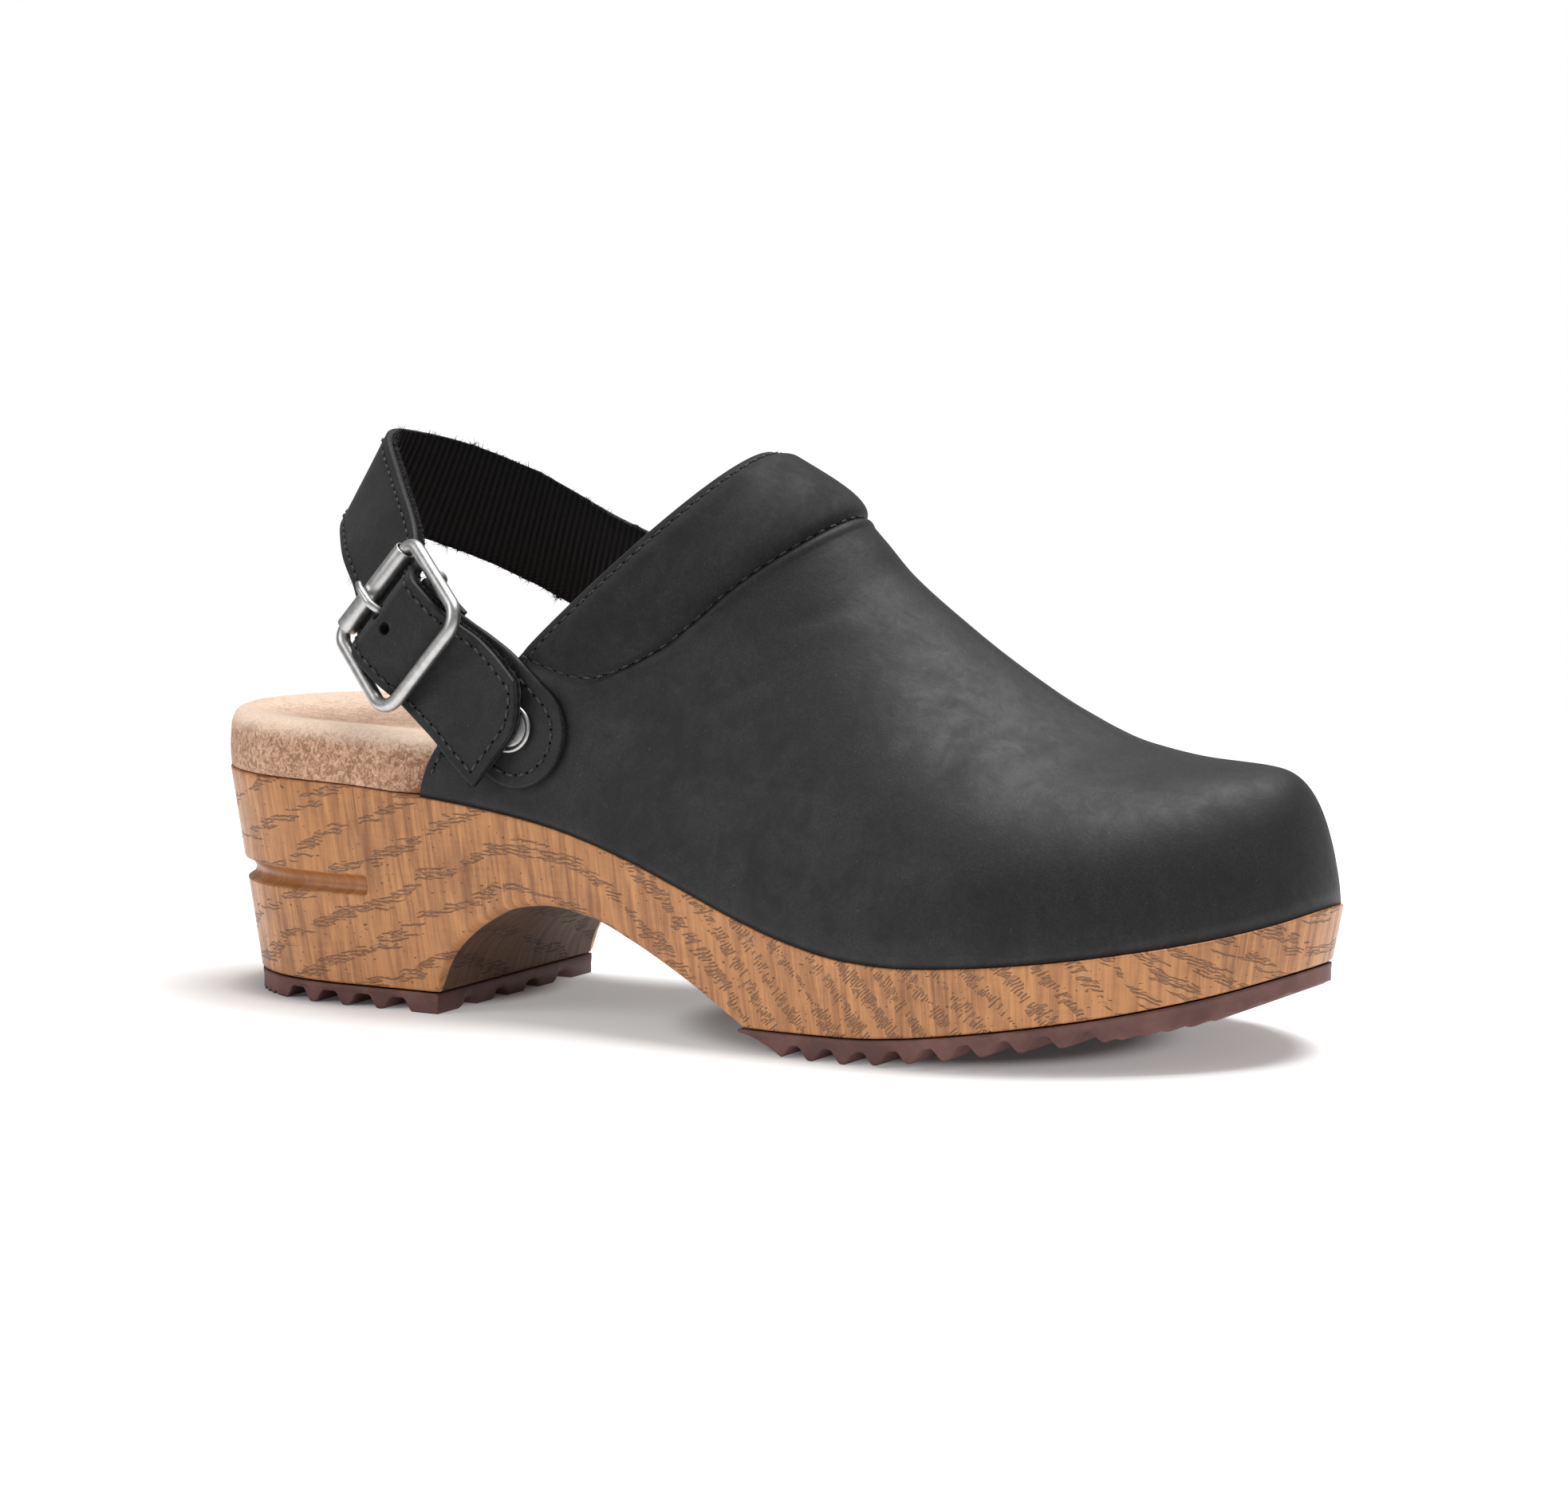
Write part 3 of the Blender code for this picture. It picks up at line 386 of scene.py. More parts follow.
# wood unit: rings along the shoe, each up the outer side, over the top, down the inner side and
# back below. A point of a ring lies at bottom + (top - bottom)*t, with quarter turns round its lower
# and upper edge. The groove is an inset of sqrt(r*r - d*d) at a distance d from its line, whose ends
# are round. x and height depend on each other, so they are settled in turns
soleLook = {
    "rings": 150, "finer": ((0.17, 0.2, 40), (0.232, 0.345, 60), (0.345, 0.58, 40)), "across": 9,
    "levels": ((0.03, 0.42, 9), (0.435, 0.56, 21), (0.6, 0.97, 8)), "turns": 10, "mapCut": 100.0,
    "edge": 0.7, "archEdge": 2.2, "topEdge": 0.5, "archSpan": (64.3, 144),
    "grooveHeight": 26.1, "grooveEnd": 48.5, "grooveRadius": 2.2, "grooveDepth": 1.8,
    "grainLean": columns("x slope", (0, .445), (70, .445), (88, 0), (115, -.75), (130, -1), (150, -1.3),
                         (251, -1.3)),
    "strokeLean": columns("x slope", (0, -.06), (60, .1), (95, -.08), (128, .1), (146, .75), (180, .95),
                          (208, .6), (226, -.5), (251, -.5)),
}


def climb(lean, x):  # height gained along the shoe by a slope that changes on the way
    way = np.linspace(0, 251, 1005)
    return np.interp(x, way, np.cumsum(np.diff(way, prepend=0) * read(soleLook[lean], "slope", way)))


def soleBottom(x):  # the seam with the rubber, or the roof of the arch where that is higher
    first, last = soleLook["archSpan"]
    return np.maximum(sideOf("seam", x), np.where((x > first) & (x < last), read(sole["arch"], "roof", x), 0))


def makeSole():
    look, radius = soleLook, soleLook["grooveRadius"]
    even = (1 - np.cos(np.linspace(0, math.pi, look["rings"]))) / 2
    s = np.unique(chain(even, *(np.linspace(*part) for part in look["finer"])))
    cut = int(np.searchsorted(s, look["mapCut"] / sole["length"]))
    s = np.insert(s, cut, s[cut])[:, None]  # where the inner side's map starts, a ring is there twice
    turn = np.linspace(0, quarter, 6)
    flat = chain(*(np.linspace(*part) for part in look["levels"]))
    low, mid, high = 0 * turn, 0 * flat, 0 * turn + 1
    t = chain(low, flat, high)
    lowRise, lowIn = chain(1 - np.cos(turn), mid + 1, high), chain(1 - np.sin(turn), mid, low)
    highRise, highIn = chain(low, mid, np.sin(turn)), chain(low, mid, 1 - np.cos(turn))
    x = s * sole["length"] + 0 * t
    for _ in range(look["turns"]):
        bottom, seam, top = soleBottom(x), sideOf("seam", x), sideOf("top", x)
        inArch = smooth(62.5, 66, x) * (1 - smooth(126, 142, x))
        edge = look["edge"] + (look["archEdge"] - look["edge"]) * inArch
        z = bottom + edge * lowRise + (top - look["topEdge"] - bottom - edge) * t + look["topEdge"] * highRise
        off = np.hypot(z - look["grooveHeight"], np.clip(x - look["grooveEnd"] + radius, 0, None))
        dip = np.sqrt(np.clip(radius**2 - off**2, 0, None))
        dip = np.clip(dip + look["grooveDepth"] - radius, 0, None)
        inset = edge * lowIn + look["topEdge"] * highIn + dip
        level = (z - seam) / (top - seam)
        back, front = soleEnds(level, inset)
        x = back + (front - back) * s
    outer, inner = soleEdges(x, level, inset)
    side, far = together(x, outer, z), together(x, inner, z)[:, ::-1]
    c = np.linspace(0, 1, look["across"])[None, :, None]
    over = side[:, -1:] * (1 - c) + far[:, :1] * c
    under = far[:, -1:] * (1 - c) + side[:, :1] * c
    arcOuter, arcInner = (chordOf(together(x, y))[:, len(t) // 2] for y in (outer, inner))
    arcFar = np.where(np.arange(len(s)) <= cut, -arcInner, arcOuter[-1] + arcInner[-1] - arcInner)
    profile = chordOf(under[..., ::2])
    band, stroke = z - climb("grainLean", x), z - climb("strokeLean", x)
    longer = 1.05 + 0.5 * smooth(95, 135, x)
    overY, underY = over[..., 1], under[..., 1]

    def mapped(*pairs):  # two values on the outer side, the top, the inner side and the bottom
        faces = zip(pairs, (side, over, far, under))
        return beside(*(together(u, v, face[..., 0])[..., :2] for (u, v), face in faces))

    return gridPiece(
        "woodUnit", beside(side, over, far, under),
        grain=mapped((arcOuter[:, None], z), (over[..., 0], overY), (arcFar[:, None], z[:, ::-1]),
                     (underY, profile)),
        band=mapped((band, longer), (overY, 1.0), (band[:, ::-1], longer[:, ::-1]),
                    (profile + 0.35 * underY, wood["archMark"])),
        carving=mapped((dip, stroke), (0.0, overY), (dip[:, ::-1], stroke[:, ::-1]), (0.0, profile)))


dress(makeSole(), woodFinish, "wood", "sole_unit")

# brushed leather: charcoal clouds, a fine tooth, pale dust, darker at seams and raw at edges. Its map
# "form" gives the distance from a cut edge or a seam and, on the upper, the place across the collar
leather = {"body": tint(25, 25, 26), "pale": tint(44, 44, 45), "deep": tint(17, 17, 18),
           "edge": tint(46, 46, 48), "dust": tint(92, 92, 92)}


def leatherLook(name, collar=False):
    f = Finish(name, Specular_IOR_Level=0.36, Sheen_Weight=0.06, Sheen_Roughness=0.45,
               Sheen_Tint=(.8, .8, .85, 1))
    spot = f.place()
    cloud = f.noise(spot, 0.045, 5, 0.66, 0.9)
    patch = f.noise(spot, 0.22, 4, 0.7, 0.6)
    brush = f.noise(spot, (0.5, 0.5, 0.16), 3, 0.65, 1.2)
    tooth = f.noise(spot, 2.1, 3, 0.66)
    pebble = f.add("TexVoronoi", {"feature": "SMOOTH_F1"}, {"Vector": spot, "Scale": 1.05})
    fleck = f.noise(spot, 2.2, 1, 0.3)
    blend = f.step(cloud * 0.48 + patch * 0.34 + brush * 0.18, 0.34, 0.68)
    colour = f.mix(blend, leather["body"], leather["pale"])
    colour = f.mix(f.step(tooth, 0.4, 0.6, 0.55, 0.0), colour, leather["deep"])
    colour = f.mix(f.step(fleck, 0.74, 0.82, 0.0, 0.4), colour, leather["dust"])
    near, share, _ = f.parts(f.flat("form"))
    raw = f.mix(f.step(f.noise(spot, 1.7, 3, 0.7), 0.42, 0.6), leather["deep"], leather["edge"])
    colour = f.mix(f.step(near + (tooth - 0.5) * 0.5, 0.05, 0.42, 0.85, 0.0), colour, raw)
    dull = f.step(share, 1.0, 0.96, 0.0, 0.18) if collar else 0.0
    f.paint(Base_Color=colour,
            Roughness=f.step(cloud * 0.5 + patch * 0.5, 0.34, 0.66, 0.57, 0.46) + tooth * 0.1 + dull,
            Normal=f.bump(tooth * 0.6 + pebble * 0.3 + patch * 0.1, 0.14, 0.5))
    return f


# tan split suede: peach on top, darker and fibrous down its side
suede = {"top": tint(250, 220, 196), "side": tint(222, 177, 146), "dark": tint(126, 84, 60),
         "pale": tint(250, 224, 202)}


def suedeLook():
    f = Finish("suede", Specular_IOR_Level=0.1, Roughness=0.95, Sheen_Weight=0.35, Sheen_Roughness=0.5,
               Sheen_Tint=(1.0, 0.86, 0.74, 1))
    spot = f.place()
    down, _, _ = f.parts(f.flat("rim"))
    fibres = f.noise(spot, (1.5, 1.5, 1.1), 4, 0.7, 1.4)
    tufts = f.noise(spot, (0.55, 0.55, 0.5), 3, 0.7, 1.8)
    nap = f.noise(spot, 0.32, 4, 0.65, 0.5)
    scuff = f.noise(spot, (0.05, 0.16, 0.1), 3, 0.6, 0.8)
    sideShare = f.step(down + (nap - 0.5) * 2.4, 0.6, 4.6)
    face = f.mix(f.step(nap * 0.5 + scuff * 0.5, 0.35, 0.66), suede["top"], suede["pale"])
    face = f.mix(sideShare, face, suede["side"])
    darker = f.step(tufts * 0.55 + fibres * 0.45, 0.56, 0.42, 0.0, 0.75)
    face = f.mix(darker * (sideShare * 0.75 + 0.25), face, suede["dark"])
    paler = f.step(tufts * 0.5 + fibres * 0.5, 0.55, 0.68, 0.0, 0.7)
    face = f.mix(paler * sideShare, face, suede["pale"])
    f.paint(Base_Color=face, Normal=f.bump(fibres + tufts * 0.6, 0.5, 0.6))
    return f


upperFinish, suedeFinish = leatherLook("upperLeather", True), suedeLook()
print("leather and suede finishes")

# upper: sections from the sole's edge up to the instep's ridge. On a section the side leans in by
# 1 - cos^(2/lean) and climbs by sin^(2/crown); the wall lies outside that face along its normal
upper = {
    "back": 54.5, "seamFoot": 69.0, "clip": 6.5, "clipRise": 0.22, "clipFade": 14.0, "fan": (90, 235),
    "form": columns(
        "foot ridgeX ridgeY ridgeZ lean crown slant",
        (54.5, 122.5, 0, 114.8, 2, 2.1, 0), (69, 144, .8, 103.2, 2, 2.1, 0),
        (95, 155.2, 1.8, 91.5, 2, 2.15, 0), (120, 168.2, 2.8, 81.6, 2, 2.2, 0),
        (145, 181.2, 3.6, 72.9, 2.05, 2.3, 0), (170, 194.5, 4.4, 65.1, 2.05, 2.45, 0),
        (195, 208, 5, 59.1, 2.05, 2.65, .04), (218, 222, 5.6, 56.6, 2.15, 3, .12),
        (237, 231.5, 6, 56.2, 2.4, 3.6, .28), (251, 236, 6.5, 55.9, 2.6, 4, .38)),
    "firstRows": (0, .06, .16, .3, .48, .7, .95), "collarRows": (1.2, 18.0, 76), "rows": 118, "columns": 91,
    # the collar: its seam, its padding, and the grooves along the seam and the topline
    "seam": columns("rise foot", (0, 69), (.3, 70.4), (.4, 71.9), (.475, 71), (.56, 69.5), (.65, 69), (1, 69)),
    "seamLow": 0.5, "seamDrop": 0.228, "seamPower": 5.5, "seamDepth": 0.4, "seamWidth": 0.6,
    "pad": 3.3, "padPower": 4.5, "padLeast": 0.45, "padGrows": (0.5, 5.5), "collarWidth": 16,
    "edgeRound": 1.1, "topline": 2.4, "toplineDepth": 0.22, "toplineWidth": 0.55,
    "puff": 0.5, "puffAt": 3.0, "puffWidth": 2.6, "seamShade": 14, "seamLeast": 0.4, "inside": 9.0,
    "tuck": 0.5, "tuckRise": 0.035, "footRise": 0.1, "footGap": 0.06,
    # creases: foot where one starts, how it slants, from and to which rise, depth, width, side
    "creases": (
        (146, 16, .6, .86, .14, 1.6, 0), (160, 12, .62, .86, .16, 1.9, 0), (176, 6, .66, .88, .12, 1.6, 0),
        (151, -26, .5, .72, .2, 2.4, -1), (168, -30, .46, .7, .2, 2.6, -1), (96, 22, .3, .5, .22, 1.8, -1),
        (104, 26, .26, .44, .18, 1.7, -1), (88, 30, .52, .8, .14, 2.0, -1), (150, -24, .48, .72, .2, 2.4, 1),
        (100, 20, .34, .6, .2, 1.8, 1)),
}


def upperInside(foot, rise):  # the whole inner face, for rows of foot and columns of rise
    angle = rise[None, :] * quarter
    form = {name: read(upper["form"], name, foot)[:, None] for name in upper["form"]}
    inward = 1 - np.cos(angle) ** (2 / form["lean"])
    upward = np.sin(angle) ** (2 / form["crown"])
    inward = inward + (upward - inward) * form["slant"]
    front, start = sole["length"] - sole["wall"], upper["back"]
    place = start + (foot - start) * (front - start) / (sole["length"] - start)
    base = (np.maximum(sideOf("top", place), sideOf("top", foot)) + sole["gap"])[:, None]
    fan = smooth(*upper["fan"], foot)[:, None]
    forward = upward * (1 - fan) + inward * fan
    low = np.clip(1 - upward / upper["clipRise"], 0, 1) ** 2
    clip = upper["clip"] * low * np.exp(-(foot - start) / upper["clipFade"])[:, None]
    x = place[:, None] + (form["ridgeX"] - place[:, None]) * forward + clip
    z = base + (form["ridgeZ"] - base) * upward
    edges = (edge[:, None] for edge in soleEdges(place, 1.0, sole["wall"]))
    outer, inner = (together(x, edge + (form["ridgeY"] - edge) * inward, z) for edge in edges)
    return mirrored(outer, inner)


def mirrored(half, other=None):  # a half up to the ridge, and the other half down from it
    return beside(half, (half if other is None else other)[:, -2::-1])


def gridNormals(grid):
    normal = unit(np.cross(np.gradient(grid, axis=0), np.gradient(grid, axis=1)))
    return normal * np.sign(normal[5, grid.shape[1] // 2, 2])


# how far a place lies across the collar: 0 at the topline, 1 on the seam, a superellipse at its foot
def collarShare(foot, rise):
    back, power = upper["back"], upper["seamPower"]
    across = (foot[:, None] - back) / (read(upper["seam"], "foot", rise)[None] - back)
    down = np.clip((upper["seamLow"] - rise) / upper["seamDrop"], 0, None)[None]
    return (np.clip(across, 0, None) ** power + down**power) ** (1 / power)


def upperRows():  # foot of each row, closest together at the topline and the collar
    near = upper["back"] + chain(upper["firstRows"], np.linspace(*upper["collarRows"]))
    ahead = np.sin(np.linspace(0, quarter, upper["rows"]))[1:]
    return chain(near, near[-1] + (sole["length"] - near[-1]) * ahead)


upperFoot, halfRise = upperRows(), np.linspace(0, 1, upper["columns"])
upperPoints = upperInside(upperFoot, halfRise)
upperNormal = gridNormals(upperPoints)
upperNormal[-1] = unit(upperNormal[-1] + upperNormal[-1, ::-1])
upperNormal[-1, upper["columns"] - 1] = upperNormal[-2, upper["columns"] - 1]  # the ridge's end has none
upperArc = chordOf(upperPoints)
upperShare = mirrored(collarShare(upperFoot, halfRise))
upperRise = np.broadcast_to(mirrored(halfRise[None]), upperArc.shape)


# each crease is a valley exp(-q*q) with a soft roll of half its height on either side
def upperCreases():
    side = np.sign(np.arange(upperPoints.shape[1]) - upper["columns"] + 1)[None]
    total = np.zeros(upperArc.shape)
    pace = np.gradient(upperArc, axis=0) / np.gradient(upperFoot)[:, None]
    for start, slant, low, high, deep, wide, which in upper["creases"]:
        t = (upperRise - low) / (high - low)
        bow = 2.5 * np.sin(math.pi * np.clip(t, 0, 1))
        q = (upperFoot[:, None] - start - slant * (upperRise - low) - bow) * pace / wide
        here = smooth(0, 0.35, t) * (1 - smooth(0.65, 1.0, t)) * (which * side >= 0)
        total += deep * here * (0.55 * bell(np.abs(q) - 2.0, 1.1) - bell(q))
    return total


def upperWall():  # thickness outside the inner face: wall, collar's pillow, less the seam's groove
    pillow = np.sqrt(np.clip(1 - upperShare ** upper["padPower"], 0, 1))
    least = upper["padLeast"]
    pillow = pillow * (least + (1 - least) * smooth(*upper["padGrows"], upperArc))
    offSeam = (upperShare - 1) * upper["collarWidth"] / upper["seamWidth"]
    groove = upper["seamDepth"] * bell(offSeam)
    topline = bell(upperArc - upper["topline"], upper["toplineWidth"]) * (upperShare < 1)
    groove += upper["toplineDepth"] * topline
    puff = upper["puff"] * bell(offSeam - upper["puffAt"], upper["puffWidth"]) * (upperShare > 1)
    return sole["wall"] + upper["pad"] * pillow - groove + puff + upperCreases()


upperThick = upperWall()
upperOuter = upperPoints + upperNormal * upperThick[..., None]


def makeUpper():
    full = rounded(upperArc, upper["edgeRound"])
    tuck = upper["tuck"] * (1 - rounded(upperRise, upper["tuckRise"])) * full
    out = upperThick * (0.5 + 0.5 * full) - tuck
    into = upperThick * (0.5 - 0.5 * full) * (upperArc < upper["edgeRound"])
    outer, inner = (upperPoints + upperNormal * away[..., None] for away in (out, into))
    halves = (0, slice(0, upper["columns"])), (-1, slice(upper["columns"], None))
    for face in (outer, inner):  # the foot of the wall comes down on the wood
        for end, half in halves:
            drop = face[:, end, 2] - sideOf("top", face[:, end, 0]) - upper["footGap"]
            face[:, half, 2] -= drop[:, None] * (1 - smooth(0, upper["footRise"], upperRise[:, half]))
    offSeam = np.abs(upperShare - 1) * upper["seamShade"] + upper["seamLeast"]
    form, inside = together(np.minimum(upperArc, offSeam), upperShare), together(upper["inside"], upperShare)
    return gridPiece("upperShell", beside(outer, inner[:, ::-1]), form=beside(form, inside[:, ::-1]))


dress(makeUpper(), upperFinish, "leather", "upper")

# footbed: rings of a side wall, a quarter turn round its rim and a top dished by (1 - c*c)^2
footbed = {
    "round": 4.0, "inset": 4.2, "edge": 0.2, "bulge": 0.35, "rings": 130, "fill": 0.9,
    "form": columns("along rim dish", (0, 11.5, 2), (30, 11.8, 3.2), (60, 11.8, 2.6), (100, 10, 1.4),
                    (150, 8, 1), (200, 7, .8), (251, 6, .4)),
}


def makeFootbed():
    s = ((1 - np.cos(np.linspace(0, math.pi, footbed["rings"]))) / 2)[:, None]
    under = smooth(upper["back"], upper["back"] + 7, sole["length"] * s)
    inset = footbed["edge"] + footbed["inset"] * under
    back, front = soleEnds(1.0, inset)
    x = back + (front - back) * s
    base = sideOf("top", x) + sole["gap"]
    rim, dish = (read(footbed["form"], name, x) for name in ("rim", "dish"))
    outer, inner = soleEdges(x, 1.0, inset)
    half, middle = (inner - outer) / 2, (inner + outer) / 2
    radius, roundIn = footbed["round"], np.minimum(footbed["round"], half * 0.5)
    wall = np.linspace(0, 1, 9)[None]
    turn = np.linspace(0, quarter, 13)[None, 1:]
    c = np.linspace(-1, 1, 41)[None, 1:-1]
    bulge = footbed["bulge"] * np.sin(math.pi * wall) * smooth(0, 10, half)
    sideY = beside(half + bulge, half - roundIn * (1 - np.cos(turn)))
    sideZ = beside(base + (rim - radius) * wall, base + rim - radius * (1 - np.sin(turn)))
    topY, topZ = (half - roundIn) * c, base + rim - dish * smooth(0, 24, half) * (1 - c**2) ** 2
    belowY = half * np.linspace(1, -1, 9)[None, 1:-1]
    y = beside(-sideY, topY, sideY[:, ::-1], belowY)
    z = beside(sideZ, topZ, sideZ[:, ::-1], base + 0 * belowY)
    return gridPiece("footbedPad", together(x, middle + y, z), rim=together(base + rim - z, y))


dress(makeFootbed(), suedeFinish, "suede", "footbed")

# treads: rings across the shoe. The underside is lifted by smooth-sided grooves between the studs,
# by fine teeth, and at the breast by notches that run along the shoe
tread = {
    "inset": 0.25, "lip": 0.9, "lipSoft": 0.3, "lipGrows": 8, "breast": 63.9, "foreStart": 141.5, "step": 0.35,
    "endOut": 0.28, "endIn": 0.99, "endRise": 0.35, "turnUp": 1.9, "turnUpReach": 4.5, "heelLeast": 0.8,
    "foreLeast": 0.5, "rearLeast": 0.6, "rearReach": 11, "heelRound": 6, "foreRound": 8,
    "heel": {"first": 53.8, "pitch": -8.7, "count": 4, "mouth": 7.7, "root": 2.9, "depth": 2.8},
    "fore": {"first": 155.5, "pitch": 7.55, "count": 9, "mouth": 6.9, "root": 1.2, "depth": 2.7},
    "notch": {"pitch": 13.0, "width": 6.4, "reach": 4.5, "depth": 2.0, "half": 28},
    "heelTeeth": (9.0, 21.0, 2.4, 0.8), "toeTeeth": (219.0, 246.0, 3.6, 0.55),
}


def studs(x, form):  # depth of the grooves: full inside the root, none outside the mouth
    at = form["first"] + form["pitch"] * np.arange(form["count"])
    off = np.abs(x[..., None] - at).min(axis=-1)
    return form["depth"] * (1 - smooth(form["root"] / 2, form["mouth"] / 2, off))


def teeth(x, span):  # fine waves between two places
    first, last, pitch, depth = span
    inside = smooth(first - 0.5, first + 0.5, x) * (1 - smooth(last - 0.5, last + 0.5, x))
    return depth * inside * (0.5 - 0.5 * np.cos(2 * math.pi * (x - first) / pitch)) ** 1.5


def makeTread(name, x, under, across, closing):
    x = x[:, None]
    c = np.linspace(-1, 1, across)[None]
    high = sideOf("seam", x) - sole["gap"]
    outer, inner = soleEdges(x, 0.0, tread["inset"])
    middle, half = (outer + inner) / 2, (inner - outer) / 2
    lip = tread["inset"] * smooth(0, tread["lipGrows"], half)  # a bead along the top, gone at the round ends
    low = under(x, middle + half * c, high)
    rise = np.linspace(0, 1, 9)[None, 1:-1]
    innerZ = low[:, -1:] + (high - low[:, -1:]) * rise
    outerZ = low[:, :1] + (high - low[:, :1]) * rise[:, ::-1]
    innerLip, outerLip = (lip * smooth(-tread["lip"] - tread["lipSoft"], -tread["lip"], z - high)
                          for z in (innerZ, outerZ))
    topY = middle + (half + lip) * c[:, ::-1]
    y = beside(middle + half * c, inner + innerLip, topY, outer - outerLip)
    rings = together(x, y, beside(low, innerZ, high + 0 * topY, outerZ))
    # the flat end is drawn in round its edge, then shut along its middle
    end = rings[closing].copy()
    mid = (end[:, 2].min() + end[:, 2].max()) / 2
    end[:, 0] += tread["endOut"] if closing else -tread["endOut"]
    end[:, 1] = middle[closing] + (end[:, 1] - middle[closing]) * tread["endIn"]
    end[:, 2] += np.clip(mid - end[:, 2], -tread["endRise"], tread["endRise"])
    side = np.ones(rise.shape[1])
    shutY = middle[closing] + half[closing] * tread["endIn"] * chain(c[0], side, c[0, ::-1], -side)
    ends = end[None], together(end[:, 0], shutY, mid)[None]
    return gridPiece(name, chain(rings, *ends) if closing else chain(*ends[::-1], rings))


backEnd, frontEnd = soleEnds(0.0, tread["inset"])


def heelUnder(x, y, high):
    reach = tread["turnUpReach"]
    turnUp = tread["turnUp"] * np.clip((backEnd + reach - x) / reach, 0, 1) ** 2  # the back's foot is rounded
    low = sideOf("tread", x) + studs(x, tread["heel"]) + teeth(x, tread["heelTeeth"]) + turnUp
    notch, pitch = tread["notch"], tread["notch"]["pitch"]
    off = np.abs((y + 2 * pitch) % pitch - pitch / 2)
    cut = notch["depth"] * (1 - smooth(notch["width"] / 4, notch["width"] / 2, off))
    start = tread["breast"] - notch["reach"]
    cut = cut * smooth(start - 0.6, start + 0.6, x) * (np.abs(y) < notch["half"])
    return np.minimum(np.maximum(low, cut), high - tread["heelLeast"])


def foreUnder(x, y, high):
    low = sideOf("tread", x)
    rear = smooth(tread["foreStart"] - 1, tread["foreStart"] + tread["rearReach"], x)
    low = low + (high - tread["rearLeast"] - low) * np.sqrt(1 - rear)
    low = low + studs(x, tread["fore"]) + teeth(x, tread["toeTeeth"])
    return np.minimum(low, high - tread["foreLeast"]) + 0 * y


heelFrom, foreTo = backEnd + tread["heelRound"], frontEnd - tread["foreRound"]
heelX = chain(heelFrom - tread["heelRound"] * np.cos(np.linspace(0, quarter, 22)),
              np.arange(heelFrom + 0.3, tread["breast"], tread["step"]), [tread["breast"]])
foreX = chain(np.arange(tread["foreStart"], foreTo, tread["step"]),
              foreTo + tread["foreRound"] * np.sin(np.linspace(0, quarter, 36)))
dress(makeTread("heelTread", heelX, heelUnder, 61, -1), rubberFinish, "rubber", "tread_heel")
dress(makeTread("forefootTread", foreX, foreUnder, 13, 0), rubberFinish, "rubber", "tread_forefoot")


# side of the upper that straps and rivets lie on, from a coarse grid of the padded wall
def coarseSide():
    back, seam = upper["back"], upper["seamFoot"]
    ahead = np.sin(np.linspace(0, quarter, 22))
    foot = chain(np.linspace(back, seam, 7)[:-1], seam + (sole["length"] - seam) * ahead)
    rise = np.linspace(0, 1, 15)
    grid = upperInside(foot, rise)
    across = np.clip((foot - back) / (seam - back), 0, 1)
    pad = np.sin(math.pi * np.clip(0.05 + 0.95 * across, 0, 1)) ** 0.45
    pad = mirrored(pad[:, None] * smooth(0.30, 0.44, rise)[None])
    return grid + gridNormals(grid) * (sole["wall"] + upper["pad"] * pad)[..., None]


sideGrid = coarseSide()


# y of that side at places (x, z): a plane fitted to the points round each, near ones counting most
def wallY(x, z, medial):
    x, z = (np.atleast_1d(np.asarray(place, float))[:, None] for place in (x, z))
    half = sideGrid.shape[1] // 2
    skin = (sideGrid[:-4, half + 1:] if medial else sideGrid[:-4, :half]).reshape(-1, 3)
    dx, dz = skin[None, :, 0] - x, skin[None, :, 2] - z
    gap = dx**2 + dz**2
    weight = np.exp(-gap / (2 * (4.0 + 0.6 * np.sqrt(gap.min(axis=1, keepdims=True))) ** 2))
    basis = together(1.0, dx, dz)
    square = np.einsum("nk,nki,nkj->nij", weight, basis, basis) + np.diag([0.0, 1e-6, 1e-6])
    target = np.einsum("nk,nki,k->ni", weight, basis, skin[:, 1])
    return np.linalg.solve(square, target[..., None])[:, 0, 0]


def leaning(lean, tilt):  # direction of a strap's width, leaning forward and tilted sideways in degrees
    lean, tilt = math.radians(lean), math.radians(tilt)
    return (math.sin(lean) * math.cos(tilt), math.sin(tilt), math.cos(lean) * math.cos(tilt))


buckle = {
    "centre": np.array([57.7, -36.5, 82.0]), "along": unit(np.array([-.70, .372, .609])),
    "across": np.array([.60, .02, .786]), "length": 21.8, "forward": 2.0, "rear": 27.6, "front": 27.8,
    "rearCorner": 2.8, "frontCorner": 4.6, "wire": 1.5, "bar": 1.2, "drop": 3.0, "bend": 1.6,
    "bore": 1.85, "roll": 0.4, "rollerShort": 2.6, "prong": 0.9, "prongAcross": -1.2, "prongEnd": 0.7,
}
buckle["across"] = unit(buckle["across"] - buckle["across"].dot(buckle["along"]) * buckle["along"])
buckle["out"] = np.cross(buckle["across"], buckle["along"])


def onBuckle(along, across, out):  # shoe place of points along, across and out of the buckle's plane
    along, across, out = (part[..., None] for part in np.broadcast_arrays(along, across, out))
    return buckle["centre"] + buckle["along"] * along + buckle["across"] * across + buckle["out"] * out


